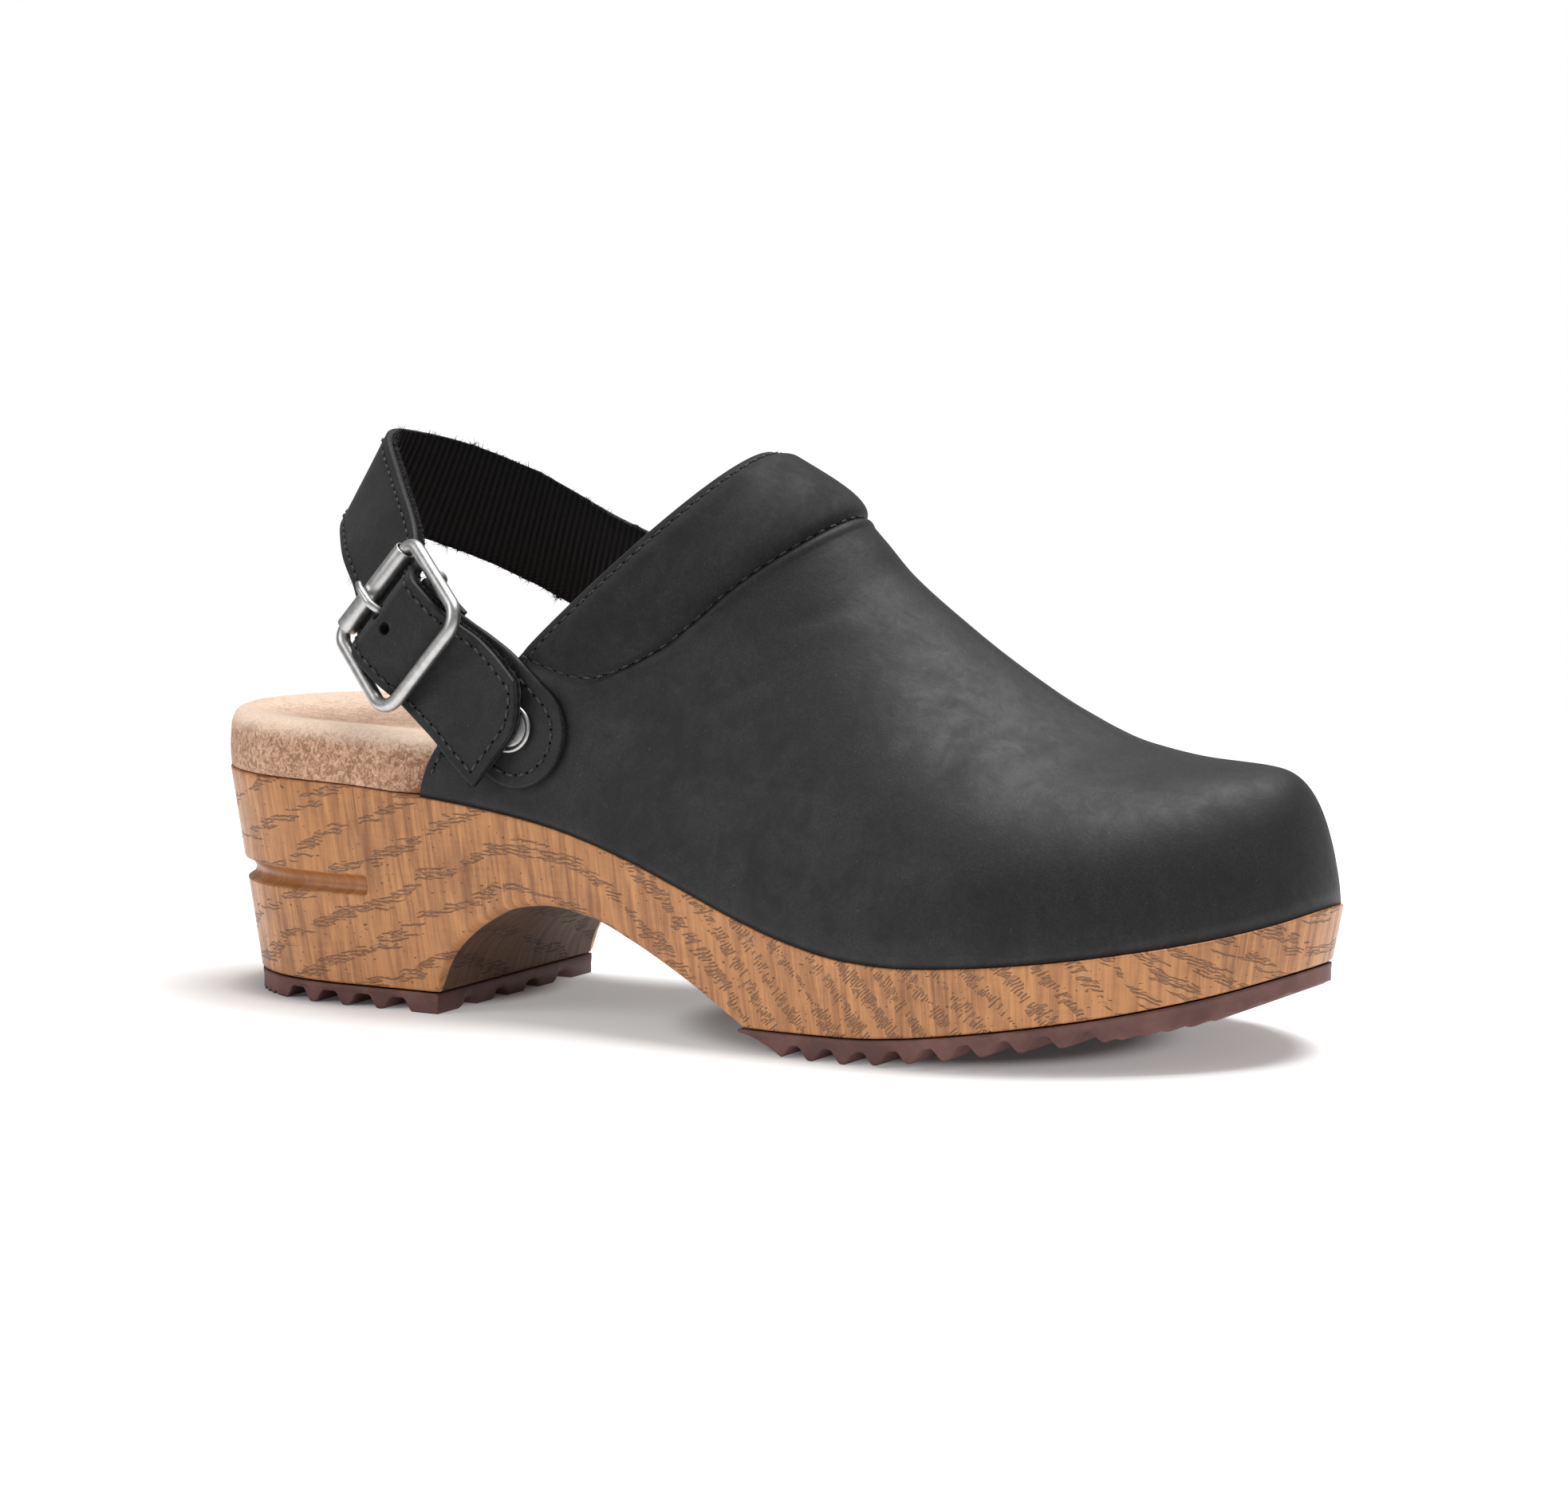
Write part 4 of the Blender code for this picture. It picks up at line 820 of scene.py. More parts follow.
# strap: tail over the upper's side, way through the buckle, loop round the heel, riveted end
strap = {
    "width": 22.4, "shift": -0.3, "thick": 2.6, "tailClip": 7.0, "endLean": (17.0, -14.0),
    "sideLean": (38.0, 8.0), "tail": ((84.9, 58.4), (80.2, 62.6), (74.0, 68.5)),
    "through": ((-10.9, -3.7), (-5.2, .4), (.3, 2.3), (4.5, .5), (8.2, -3), (10.9, -4)),
    "loop": ((48, -23.6, 93, 44, -6), (40.6, -16.8, 99.4, 43, -2), (34.8, -9.5, 103.6, 38, 0),
             (29, 0, 108, 29, 0), (33.8, 9.8, 107.2, 26, 0), (43.5, 20.3, 102.6, 20, 0),
             (54.5, 28.6, 96.2, 17, -2), (66, 32.2, 89.8, 17, -6), (80, 33.2, 84.4, 17, -10)),
    "end": ((94, 79.8), (103, 76.9)), "holes": ((4.5, 1.9), (-0.8, 1.4)),
    "face": (-0.25, 1.3), "web": (-1.3, -0.35), "webWider": 0.7, "ribPitch": 1.45, "ribDepth": 0.3,
    "ease": 4.2, "easeFrom": 52.0, "apexLift": 1.4, "apexBack": 0.6, "apexSpread": 9,
    "faceGrid": (0.8, 37), "faceRound": 0.4, "webGrid": (0.23, 21), "webRound": 0.35, "webHole": 0.92,
    "roughSeed": 11, "rough": 0.05, "roughReach": 0.25,
}
tab = {
    "width": 22.4, "thick": 1.6, "tailClip": 0.0, "slot": (-4.5, 5.0, 1.6), "grid": (0.6, 33), "round": 0.4,
    "fold": ((-6.5, -7.6), (-3, -6.5), (0, -5.7), (1.9, -4.9), (2.7, -3), (1.9, -1.2), (0, -.6),
             (-3, -1.7), (-6.5, -4.2), (-10.9, -6.5)),
    "run": ((76, 68.4), (81, 64.5), (85, 61.2), (90, 57.2), (94.5, 53.7)),
}
rivet = {"radius": 5.1, "head": 1.0, "rim": 0.45, "footIn": 0.4, "footHigh": 0.02, "domeIn": 1.0,
         "domeLow": 0.42, "domeRise": 0.38, "lateral": (84.5, 61.4), "medial": (93.5, 80.0)}


def routeOf(stops):  # a strip's middle and width directions along its chord
    middle, wide = (np.array(part, float) for part in zip(*stops))
    return dict(zip(("chord", "x", "y", "z", "wideX", "wideY", "wideZ"), (chordOf(middle), *middle.T, *wide.T)))


def onSide(places, height, medial, lean):  # stops of a route at a height over the upper's side
    way = 1 if medial else -1
    return [((x, wallY(x, z, medial)[0] + way * height, z), leaning(*lean)) for x, z in places]


# the strap's route with its bends eased: each point becomes the mean of those round it, weighted by a
# bell, wherever its x is behind a place; a wider bell then lifts the highest point
def eased(route):
    place = np.linspace(0, route["chord"][-1], 700)
    rows = {name: read(route, name, place) for name in route}
    weight = np.exp(-(((place[:, None] - place[None]) / strap["ease"]) ** 2) / 2)
    weight /= weight.sum(axis=1, keepdims=True)
    share = 1 - smooth(strap["easeFrom"] - 6, strap["easeFrom"], rows["x"])
    made = {name: row + (weight @ row - row) * share for name, row in rows.items()}
    lift = strap["apexLift"] * bell(place - place[np.argmin(made["x"])], strap["apexSpread"])
    made["x"], made["z"] = made["x"] - strap["apexBack"] * lift, made["z"] + lift
    return {**made, "chord": place}


# a strip rests at a height over the outer or inner side, drawn to it between two places x
overRivet = 3 * sole["gap"] + tab["thick"] + rivet["head"] + strap["thick"] / 2
overWall = 3 * sole["gap"] + strap["thick"] / 2
tabOver = sole["gap"] + tab["thick"] / 2
strap["rests"] = ((False, overRivet, 72, 79), (True, overWall, 76, 88))
strap["route"] = eased(routeOf([
    *onSide(strap["tail"], overRivet, False, strap["sideLean"]),
    *((onBuckle(a, strap["shift"], o), buckle["across"]) for a, o in strap["through"]),
    *((stop[:3], leaning(*stop[3:])) for stop in strap["loop"]),
    *onSide(strap["end"], overWall, True, strap["endLean"])]))
tab["rests"] = ((False, tabOver, 69, 77),)
tab["route"] = routeOf([*((onBuckle(a, 0.0, o), buckle["across"]) for a, o in tab["fold"]),
                        *onSide(tab["run"], tabOver, False, strap["sideLean"])])


# a strip's points at places along it and c across it, from -1 to 1: middle + width*c*half, then
# drawn to where it rests
def onStrip(strip, place, c, width):
    route = strip["route"]
    wide = unit(together(*(read(route, axis, place) for axis in ("wideX", "wideY", "wideZ"))))
    grid = together(*(read(route, axis, place) for axis in "xyz")) + wide * (c * width / 2)[..., None]
    flat = grid.reshape(-1, 3)
    for medial, height, first, last in strip["rests"]:
        way = 1 if medial else -1
        pick = np.nonzero((flat[:, 1] * way > 0) & (flat[:, 0] > first))[0]
        if len(pick):
            wall = wallY(flat[pick, 0], flat[pick, 2], medial) + way * height
            flat[pick, 1] += (wall - flat[pick, 1]) * smooth(first, last, flat[pick, 0])
    return flat.reshape(grid.shape)


def tailStart(strip, c):  # where a clipped tail begins, across the strip
    return strip["tailClip"] * np.clip((c - 0.1) / 0.9, 0, None) ** 2


# a strip's grid with a round far end: points, normals away from the foot, distance from the nearest
# edge and place along it; rows lie closer together at the ends
def stripGrid(strip, width, step, count):
    total, half = strip["route"]["chord"][-1], width / 2
    near = np.array([0, .04, .12, .24, .4, .6])
    share = chain(near, np.linspace(0.9, total - 0.9, int(total / step)), total - near[::-1])[:, None] / total
    c = np.sin(np.linspace(-1, 1, count) * quarter)[None]
    start = tailStart(strip, c)
    finish = total - half * (1 - arched(c))
    place = start + (finish - start) * share
    grid = onStrip(strip, place, c, width)
    edge = (1 - np.abs(c)) * half
    roundEnd = half - np.hypot(np.clip(place - total + half, 0, None), c * half)
    away = np.minimum(np.minimum(edge, np.abs(place - start)), np.where(place > total - half, roundEnd, edge))
    normal = unit(np.cross(np.gradient(grid, axis=1), np.gradient(grid, axis=0)))
    return grid, normal, np.clip(away, 0, None), place


# a strip as a closed solid: its two faces at heights low and high, brought together round every edge
# by sqrt(1 - (1 - d/r)^2) at a distance d from it
def stripSolid(name, grid, normal, away, low, high, radius, relief=0.0, place=0.0):
    full = rounded(away, radius)
    mid, half = (low + high) / 2, (high - low) / 2 * full
    upFace = grid + normal * (mid + half)[..., None]
    downFace = grid + normal * (mid - half - relief * full)[..., None]
    form = together(away, place)
    return gridPiece(name, beside(upFace, downFace[:, ::-1]), form=beside(form, form[:, ::-1]))


def drill(piece, cutters):  # cuts closed shapes out of a piece and keeps the result as its mesh
    for cutter in cutters:
        boolean = piece.modifiers.new("cut", "BOOLEAN")
        boolean.object, boolean.operation, boolean.solver = cutter, "DIFFERENCE", "EXACT"
    bpy.context.view_layer.update()
    graph = bpy.context.evaluated_depsgraph_get()
    made = bpy.data.meshes.new_from_object(piece.evaluated_get(graph), depsgraph=graph)
    piece.modifiers.clear()
    piece.data = made
    made.polygons.foreach_set("use_smooth", np.ones(len(made.polygons), bool))
    for cutter in cutters:
        bpy.data.objects.remove(cutter)


def tubeRings(path, radius, sides, loop, up):  # circles of the given radii square to a path
    ahead = unit(np.roll(path, -1, 0) - np.roll(path, 1, 0) if loop else np.gradient(path, axis=0))
    side = unit(np.cross(ahead, up))[:, None]
    top = np.cross(side, ahead[:, None])
    turn = circle(sides)[None, :, None]
    radius = np.broadcast_to(radius, (len(path),))[:, None, None]
    rings = path[:, None] + (side * np.cos(turn) + top * np.sin(turn)) * radius
    return chain(rings, rings[:1]) if loop else rings


def turned(profile, centre, axis, sides):  # a profile of (radius, height) turned round an axis
    side = unit(np.cross(axis, (0.31, 0.2, 0.93)))
    top = np.cross(axis, side)
    turn = circle(sides)[:, None]
    radius, height = np.asarray(profile, float).T[..., None, None]
    return centre + (side * np.cos(turn) + top * np.sin(turn)) * radius + axis * height


def steelLook():  # brushed steel
    f = Finish("steel", Metallic=1.0, Specular_IOR_Level=0.5)
    spot = f.place()
    brushed = f.noise(spot, 0.6, 3, 0.6)
    scratch = f.noise(spot, 5, 2, 0.7)
    f.paint(Base_Color=f.mix(f.step(brushed, 0.3, 0.7), tint(186, 185, 184), tint(206, 205, 204)),
            Roughness=f.step(brushed * 0.7 + scratch * 0.3, 0.3, 0.7, 0.34, 0.42))
    return f


def webLook():  # black webbing, with a painted highlight on its raised ribs and painted shade between them
    f = Finish("webbing", Specular_IOR_Level=0.15, Roughness=0.95, Sheen_Weight=0.1, Sheen_Roughness=0.5)
    weave = f.noise(f.place(), 1.8, 3, 0.65)
    _, lengthways, _ = f.parts(f.flat("form"))
    # the ribs follow the webbing's rib relief: raised ribs get a painted highlight, the grooves between them
    # painted shade
    rib = f.math("SINE", lengthways * (2 * math.pi / strap["ribPitch"])) * 0.5 + 0.5
    ribLightAndShade = f.mix(f.step(rib + (weave - 0.5) * 1.8, 0.1, 0.9), tint(36, 36, 39), tint(15, 15, 16))
    f.paint(Base_Color=f.mix(f.step(weave, 0.4, 0.7, 0.0, 0.4), ribLightAndShade, tint(36, 36, 38)),
            Normal=f.bump(weave, 0.1, 0.5))
    return f


strapFinish, steelFinish, webFinish = leatherLook("strapLeather"), steelLook(), webLook()
print("strap finishes")


def holeCutter(along, radius):
    profile = ((0, -9), (radius, -9), (radius, 9), (0, 9))
    return gridPiece("cutter", turned(profile, onBuckle(along, buckle["prongAcross"], 0.0), buckle["out"], 24))


def makeStrap():
    grid, normal, away, _ = stripGrid(strap, strap["width"], *strap["faceGrid"])
    face = stripSolid("strapLeather", grid, normal, away, *strap["face"], strap["faceRound"])
    drill(face, [holeCutter(a, r) for a, r in strap["holes"]])
    dress(face, strapFinish, "leather", "heel_strap")
    grid, normal, away, place = stripGrid(strap, strap["width"] + strap["webWider"], *strap["webGrid"])
    ribs = strap["ribDepth"] * (0.5 + 0.5 * np.sin(2 * math.pi * place / strap["ribPitch"]))
    rough = np.random.default_rng(strap["roughSeed"]).normal(0, 1, away.shape)
    rough = (rough + np.roll(rough, 1, 0) + np.roll(rough, 1, 1)) * strap["rough"]
    rough = grid + normal * (rough * (away < strap["roughReach"]))[..., None]
    web = stripSolid("strapWebbing", rough, normal, away, *strap["web"], strap["webRound"], -ribs, place)
    drill(web, [holeCutter(a, r * strap["webHole"]) for a, r in strap["holes"]])
    dress(web, webFinish, "leather")
    makeFray(grid, normal)


# frayed edge: thin three-sided hairs along both edges of the webbing, some in tufts. A hair's points
# are foot + way*t*long + flat*curl*long*t*t, with a radius that falls with 1 - t
fray = {"seed": 5, "hairs": 1700, "margin": 8, "tufts": 22, "grouped": 0.35, "spread": 3, "out": (0.3, 1),
        "ahead": 0.7, "up": 0.35, "length": (2.0, 0.3), "limits": (0.2, 1.9), "inTuft": 1.3, "alone": 0.9,
        "curl": 0.3, "sunk": 0.15, "radius": 0.09}


def makeFray(grid, normal):
    dice = np.random.default_rng(fray["seed"])
    count, first, last = fray["hairs"], fray["margin"], len(grid) - fray["margin"]
    row, side = dice.integers(first, last, count), dice.integers(0, 2, count)
    tuft = dice.integers(0, fray["tufts"], count)
    grouped = dice.random(count) < fray["grouped"]
    near = row[tuft] + dice.normal(0, fray["spread"], count).astype(int)
    row = np.where(grouped, near, row).clip(first, last - 1)
    side = np.where(grouped, side[tuft], side)
    foot = grid[row, side * -1] + normal[row, side * -1] * dice.uniform(*strap["web"], (count, 1))
    wide = unit(np.where(side[:, None] == 1, 1, -1) * (grid[row, -1] - grid[row, 0]))
    ahead = unit(grid[row + 4, 0] - grid[row - 4, 0])
    way = wide * dice.uniform(*fray["out"], (count, 1)) + ahead * dice.normal(0, fray["ahead"], (count, 1))
    way = unit(way + normal[row, 0] * dice.normal(0, fray["up"], (count, 1)))
    long = dice.gamma(*fray["length"], (count, 1, 1, 1)).clip(*fray["limits"])
    long = long * np.where(grouped, fray["inTuft"], fray["alone"])[:, None, None, None]
    flat = unit(np.cross(way, (0.3, 0.5, 0.81)))
    foot, way, flat, third = (part[:, None, None] for part in (foot, way, flat, np.cross(way, flat)))
    t = np.linspace(0, 1, 4)[None, :, None, None]
    turn = circle(3)[None, None, :, None]
    curl = dice.normal(0, fray["curl"], (count, 1, 1, 1))
    points = foot - way * fray["sunk"] + way * t * long + flat * curl * long * t**2
    points = points + (flat * np.cos(turn) + third * np.sin(turn)) * fray["radius"] * (1 - t)
    quads, start = gridQuads(4, 3)[0], np.arange(count)[:, None] * 12
    faces = [*(quads + start[..., None]).reshape(-1, 4).tolist(), *([0, 1, 2] + start).tolist()]
    dress(meshPiece("strapFray", points, faces), webFinish, "leather")


makeStrap()


def makeTab():
    thick = tab["thick"] / 2
    grid, normal, away, _ = stripGrid(tab, tab["width"], *tab["grid"])
    piece = stripSolid("buckleTab", grid, normal, away, -thick, thick, tab["round"])
    front, rear, half = tab["slot"]
    slab = [onBuckle((front, rear, rear, front), buckle["prongAcross"] + side, (-12, -12, 3, 3))
            for side in (-half, half)]
    low, high = (face.mean(0, keepdims=True).repeat(4, 0) for face in slab)
    drill(piece, [gridPiece("cutter", np.stack([low, *slab, high]))])
    dress(piece, strapFinish, "leather", "buckle_tab")


makeTab()


# buckle: a round-cornered loop of wire with a dropped centre bar, a roller on its rear bar, and a prong
# that is bent round the centre bar and lies over the roller
def makeBuckle():
    b = buckle
    a, rear, fore = b["length"] / 2, b["rear"] / 2, b["front"] / 2
    rearAt, foreAt = a - b["rearCorner"], b["frontCorner"] - a - b["forward"]

    def corner(along, across, radius, first):
        turn = np.radians(first + np.linspace(0, 90, 15))
        return together(along + radius * np.cos(turn), across + radius * np.sin(turn))

    flat = chain(corner(rearAt, rear - b["rearCorner"], b["rearCorner"], 0),
                 corner(foreAt, fore - b["frontCorner"], b["frontCorner"], 90),
                 corner(foreAt, b["frontCorner"] - fore, b["frontCorner"], 180),
                 corner(rearAt, b["rearCorner"] - rear, b["rearCorner"], 270))
    wire = tubeRings(onBuckle(flat[:, 0], flat[:, 1], 0.0), b["wire"], 20, True, b["out"])
    turn = np.radians(np.linspace(0, 90, 8))
    reach, bend = (rear + fore) / 2, b["bend"]
    armA = chain([reach], reach - bend + bend * np.cos(turn))
    armO = chain([0.3], -b["drop"] + bend - bend * np.sin(turn))
    bar = onBuckle(0.0, chain(armA, -armA[::-1]), chain(armO, armO[::-1]))
    bar = tubeRings(bar, b["bar"], 16, False, b["along"])
    caps = [bar[end].mean(0)[None, None].repeat(16, 1) for end in (0, -1)]
    dress(gridsPiece("buckleWire", [wire, chain(caps[0], bar, caps[1])]), steelFinish, "steel", "buckle_frame")

    outer, lip = b["bore"] + b["roll"], b["roll"] / 2
    turn = np.radians(np.linspace(0, 180, 9))
    end = together(b["bore"] + lip + lip * np.cos(turn), rear - b["rollerShort"] - lip + lip * np.sin(turn))
    tube = turned(chain(end, end[::-1] * (1, -1), end[:1]), onBuckle(a, 0.0, 0.0), b["across"], 48)
    dress(gridPiece("buckleRoller", tube), steelFinish, "steel", "buckle_roller")

    loop = b["bar"] + sole["gap"] + b["prong"]
    turn = np.radians(np.linspace(215, 10, 26))
    top = outer + sole["gap"] + b["prong"]
    knots = [(4.5, .2), (5.6, 2), (7.6, top - .2), (a, top), (a + 1.6, top - .4), (a + 2.6, top - 1)]
    path = chain(together(loop * np.cos(turn), loop * np.sin(turn) - b["drop"]), knots)
    rows = dict(zip(("chord", "along", "out"), (chordOf(path), *path.T)))
    total = rows["chord"][-1]
    fine = np.linspace(0, total, 70)
    path = onBuckle(read(rows, "along", fine), b["prongAcross"], read(rows, "out", fine))
    radius = b["prong"] * rounded(np.minimum(fine, total - fine), b["prongEnd"])
    radius = radius * (1 - 0.2 * smooth(0.75, 1, fine / total))
    dress(gridPiece("buckleProng", tubeRings(path, radius, 16, False, b["across"])), steelFinish, "steel",
          "buckle_prong")


makeBuckle()


# rivet: a low dome inside a rolled rim, turned round the direction square to the upper's side
def makeRivet(name, node, place, medial, under):
    x, z = place
    near = wallY([x, x + 2, x - 2, x, x], [z, z, z, z + 2, z - 2], medial)
    out = unit(np.array([(near[1] - near[2]) / 4, -1, (near[3] - near[4]) / 4])) * (-1 if medial else 1)
    centre = np.array([x, near[0], z]) + out * (under + sole["gap"])
    radius, head, roll = rivet["radius"], rivet["head"], rivet["rim"]
    turn = np.radians(np.linspace(-40, 200, 15))
    rim = together(radius - roll + roll * np.cos(turn), head - roll + roll * np.sin(turn))
    dome = np.linspace(1, 0, 12)[1:]
    domeZ = head - rivet["domeLow"] + rivet["domeRise"] * (1 - dome**2)
    crown = together((radius - rivet["domeIn"]) * dome, domeZ)
    foot = [(0, rivet["footHigh"]), (radius - rivet["footIn"], rivet["footHigh"])]
    profile = chain(foot, rim, crown)
    dress(gridPiece(name, turned(profile, centre, out, 64)), steelFinish, "steel", node)


makeRivet("rivetOuter", "rivet_lateral", rivet["lateral"], False, sole["gap"] + tab["thick"])
makeRivet("rivetInner", "rivet_medial", rivet["medial"], True, 3 * sole["gap"] + strap["thick"])

# thread: short capsules set end to end along a path, a little proud in the middle and sunk at the
# ends. A capsule's radius is r*sqrt(1 - t^4) for t from -1 to 1 along it
# the needle holes are flat near-black discs at the ends of the stitches: painted shade
thread = {"share": 1.9 / 2.9, "radius": 0.3, "arch": 0.14, "sides": 6, "hole": 0.36, "holeThick": 0.1,
          "collar": (3.1, -0.05), "topline": (2.6, 0.0), "strip": (2.7, 0.0), "strapMargin": 2.1,
          "tabMargin": 2.7, "tabStart": 34.0}
paintedHoleShades = []


def threadLook():
    f = Finish("thread", Specular_IOR_Level=0.4)
    twist = f.noise(f.place(), 3.0)
    f.paint(Base_Color=f.mix(f.step(twist, 0.35, 0.65), tint(27, 27, 28), tint(76, 76, 77)),
            Roughness=f.step(twist, 0.3, 0.7, 0.45, 0.65), Normal=f.bump(twist, 0.06, 0.5))
    return f


threadFinish = threadLook()


def makeThread(name, rows, pitch, lift):
    t = np.linspace(-1, 1, 6)[None, :, None, None]
    turn = circle(thread["sides"])[None, None, :, None]
    half = pitch * thread["share"] / 2
    radius = thread["radius"] * np.sqrt(np.clip(1 - t**4, 0, 1))
    disc, level = (np.array(part)[None, :, None, None] for part in ((0.0, 1.0, 0.0), (-1.0, 0.0, 1.0)))
    capsules = []
    for path, normal in rows:
        chord = chordOf(path)

        def at(place):  # points of the path, or normals beside it, at places along it
            return [together(*(np.interp(place, chord, axis) for axis in part.T))[:, None, None]
                    for part in (path, normal)]

        count = max(1, int(chord[-1] / pitch))
        step = chord[-1] / count
        centre = (np.arange(count) + 0.5) * step
        here, up = at(centre)
        ahead, up = unit(at(centre + half)[0] - at(centre - half)[0]), unit(up)
        side = np.cross(ahead, up)
        # a flat near-black disc at the end of each stitch: painted shade of the needle hole
        hole = disc * (side * np.cos(turn) + ahead * np.sin(turn)) * thread["hole"]
        hole = hole + level * thread["holeThick"] * up
        paintedHoleShades.append(at(centre + step / 2)[0] + hole + up * lift)
        tube = (side * np.cos(turn) + up * np.sin(turn)) * radius
        capsules.append(here + ahead * t * half + tube + up * (lift + thread["arch"] * (1 - t**2)))
    dress(gridsPiece(name, chain(*capsules)), threadFinish, "leather")


# places on the upper's outer face and its normals there, between the points of its grid
def onUpper(foot, rise, medial):
    row = np.interp(foot, upperFoot, np.arange(len(upperFoot)))
    column = rise * (upper["columns"] - 1)
    column = 2 * upper["columns"] - 2 - column if medial else column
    i = np.clip(row.astype(int), 0, len(upperFoot) - 2)
    j = np.clip(column.astype(int), 0, upperOuter.shape[1] - 2)
    a, b = (row - i)[:, None], (column - j)[:, None]

    def between(grid):
        left = grid[i, j] * (1 - a) + grid[i + 1, j] * a
        return left * (1 - b) + (grid[i, j + 1] * (1 - a) + grid[i + 1, j + 1] * a) * b

    return between(upperOuter), between(upperNormal)


def collarSeam(medial):  # the seam's places: round its foot by a superellipse, then up to the ridge
    turn, power = np.linspace(0.0, quarter, 90), 2 / upper["seamPower"]
    rise = chain(upper["seamLow"] - upper["seamDrop"] * np.cos(turn) ** power,
                 np.linspace(upper["seamLow"], 1, 80)[1:])
    share = chain(np.sin(turn) ** power, np.ones(79))
    foot = upper["back"] + (read(upper["seam"], "foot", rise) - upper["back"]) * share
    return onUpper(foot, rise, medial)


def toplineRow(medial):  # a row at a distance from the topline, from the sole up to the ridge
    pick = np.arange(3, upper["columns"])
    pick = 2 * upper["columns"] - 2 - pick if medial else pick
    foot = np.array([np.interp(upper["topline"], upperArc[:, j], upperFoot) for j in pick])
    return onUpper(foot, upperRise[0, pick], medial)


# a row at a margin from a strip's edges: up one edge, round its far end and back, on a clipped tail
# also along that
def stripRow(strip, height, margin, start):
    width, total = strip["width"], strip["route"]["chord"][-1]
    c = 1 - 2 * margin / width
    edge = np.linspace(start, total - width / 2, 240)
    turn = np.linspace(-quarter, quarter, 60)
    place = chain(edge, total - width / 2 + (width / 2 - margin) * np.cos(turn), edge[::-1])
    across = chain(0 * edge - c, c * np.sin(turn), 0 * edge + c)
    if strip["tailClip"]:
        tail = np.linspace(c, -c, 60)
        clipped = tailStart(strip, tail) + margin
        keep = (across < 0) | (place > clipped[0])
        place, across = chain(place[keep], clipped), chain(across[keep], tail)

    def at(ahead=0.0, aside=0.0):
        return onStrip(strip, place + ahead, across + aside, width)

    normal = unit(np.cross(at(aside=0.03) - at(aside=-0.03), at(0.25) - at(-0.25)))
    return at() + normal * height, normal * np.sign(height)


makeThread("collarThread", [collarSeam(False), collarSeam(True)], *thread["collar"])
makeThread("toplineThread", [toplineRow(False), toplineRow(True)], *thread["topline"])
strapRow = stripRow(strap, strap["face"][1], thread["strapMargin"], thread["strapMargin"])
tabRow = stripRow(tab, -tab["thick"] / 2, thread["tabMargin"], thread["tabStart"])
makeThread("strapThread", [strapRow], *thread["strip"])
makeThread("tabThread", [tabRow], *thread["strip"])
# the discs' finish is near black: painted shade of the needle holes
holeShadeFinish = Finish("paintedHoleShade", Specular_IOR_Level=0.1, Base_Color=tint(9, 9, 9), Roughness=0.9)
dress(gridsPiece("paintedHoleShades", chain(*paintedHoleShades)), holeShadeFinish, "leather")

# stage
stage = {"target": (128.969, 0.0, 56.387), "distance": 1300.0, "azimuth": 28.506, "elevation": 7.0076,
         "lens": 144.14, "sensor": 36.0, "clip": 50, "floorSize": 6.0, "fade": (260, 620), "glow": 0.27,
         "paintedShadows": ((-91, 34, 34), (36, 50, 42)), "sky": 0.3}
grey = {"white": (1, 1, 1, 1), "bright": (0.9, 0.9, 0.9, 1), "light": (0.88, 0.88, 0.88, 1),
        "dark": (0.1, 0.1, 0.1, 1)}


def show(name, data):
    made = bpy.data.objects.new(name, data)
    bpy.context.scene.collection.objects.link(made)
    return made


azimuth, elevation = math.radians(stage["azimuth"]), math.radians(stage["elevation"])
right = Vector((math.cos(azimuth), math.sin(azimuth), 0))
level = math.cos(elevation)
back = Vector((math.sin(azimuth) * level, -math.cos(azimuth) * level, math.sin(elevation)))
target = Vector(stage["target"]) + Vector(shift)
lens = bpy.data.cameras.new("camera")
lens.lens, lens.sensor_width, lens.sensor_fit = stage["lens"], stage["sensor"], "HORIZONTAL"
lens.clip_end = stage["clip"]
camera = show("camera", lens)
facing = Matrix((right, back.cross(right), back)).transposed().to_4x4()
camera.matrix_world = Matrix.Translation((target + back * stage["distance"]) * mm) @ facing
bpy.context.scene.camera = camera


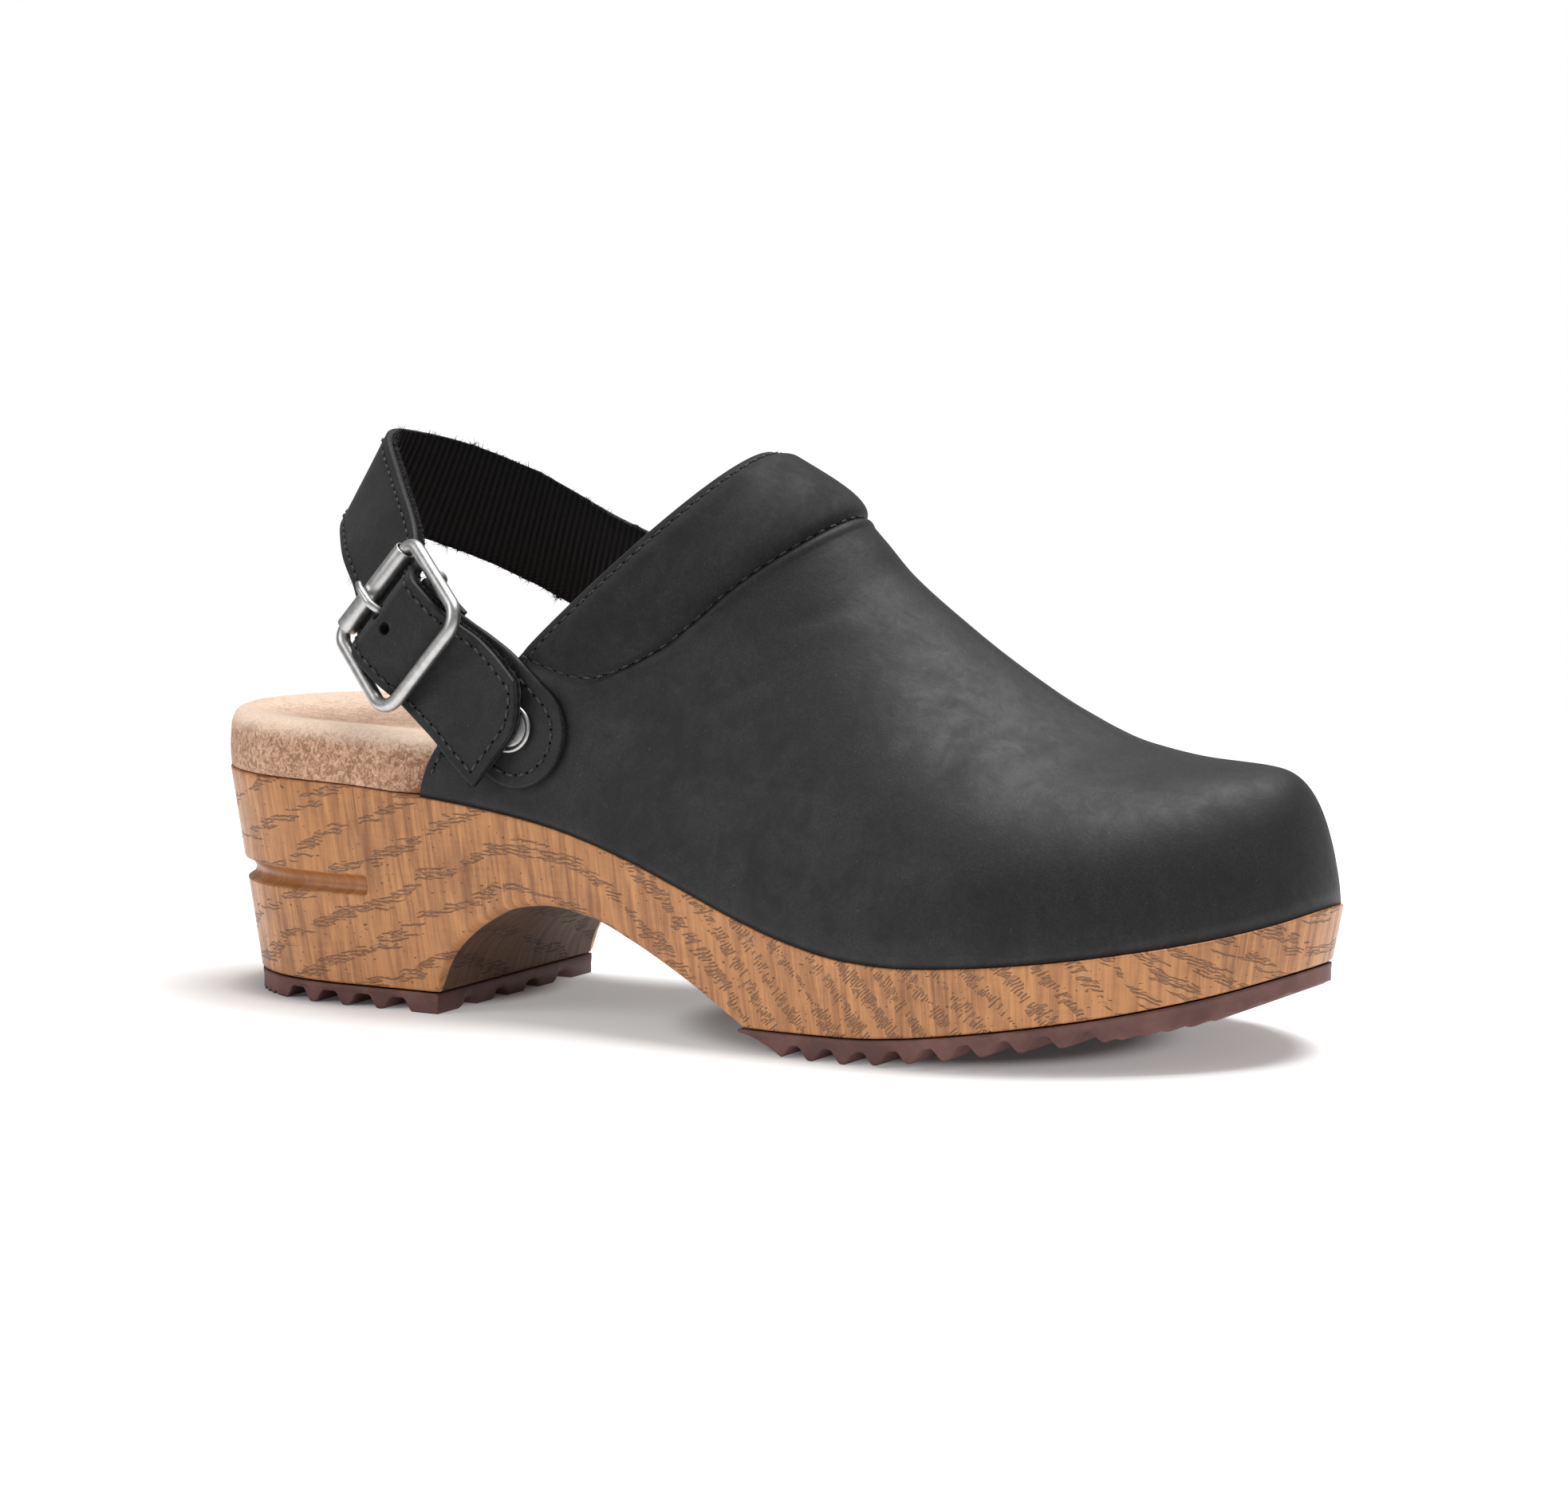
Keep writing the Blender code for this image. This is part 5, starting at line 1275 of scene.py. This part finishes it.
def floorLook():  # white and evenly glowing, with a painted shadow under the two treads where the glow is dark, and gone far away
    f = Finish("floor", Roughness=0.9, Specular_IOR_Level=0.1, Emission_Strength=stage["glow"])
    spot = f.place()
    speckle = f.noise(spot, 0.02)
    farAway = f.add("VectorMath", {"operation": "LENGTH"}, {0: spot}, 1)
    floorX, floorY, _ = f.parts(spot)
    lit = 1.0
    # each tread gets a painted contact shadow: an ellipse where the floor's glow falls to dark grey
    for middle, length, width in stage["paintedShadows"]:
        u, v = (floorX - middle) / length, floorY / width
        lit = f.step(f.math("SQRT", u * u + v * v), 0.85, 1.15) * lit
    f.paint(Base_Color=f.mix(speckle, grey["light"], grey["bright"]),
            Alpha=f.step(farAway, *stage["fade"], 1.0, 0.0),
            Emission_Color=f.mix(lit, grey["dark"], grey["white"]))
    return f


half = stage["floorSize"] / 2
floorMesh = bpy.data.meshes.new("floor")
corners = [(-half, -half, 0), (half, -half, 0), (half, half, 0), (-half, half, 0)]
floorMesh.from_pydata(corners, [], [(0, 1, 2, 3)])
floor = show("floor", floorMesh)
floor.data.materials.append(floorLook().material)

# soft lights: where, aimed at, size, watts
lamps = {
    "overhead": ((0.28, 0.24, 1.3), (0.02, 0, 0.05), 1.0, 21),
    "front": ((-1.0, -1.4, 1.0), (0.0, 0, 0.05), 1.2, 9.5),
}
for label, (place, aim, size, watts) in lamps.items():
    light = bpy.data.lights.new(label, "AREA")
    light.energy, light.size, light.shape = watts, size, "DISK"
    lamp = show(label, light)
    lamp.location = place
    lamp.rotation_mode = "QUATERNION"
    lamp.rotation_quaternion = (Vector(place) - Vector(aim)).to_track_quat("Z", "Y")

# the sky lights the shoe, and behind the floor the lens sees plain white
world = bpy.data.worlds.new("studio")
world.use_nodes = True
nodes = world.node_tree.nodes
sky, output = nodes["Background"], nodes["World Output"]
white, paths, either = (nodes.new("ShaderNode" + kind) for kind in ("Background", "LightPath", "MixShader"))
for node, strength in ((sky, stage["sky"]), (white, 1.0)):
    node.inputs["Color"].default_value = grey["white"]
    node.inputs["Strength"].default_value = strength
for start, end in ((paths.outputs["Is Camera Ray"], either.inputs[0]), (sky.outputs[0], either.inputs[1]),
                   (white.outputs[0], either.inputs[2]), (either.outputs[0], output.inputs[0])):
    world.node_tree.links.new(start, end)
bpy.context.scene.world = world
bpy.context.scene.view_settings.view_transform = "Standard"
print("stage set")

bpy.context.view_layer.update()
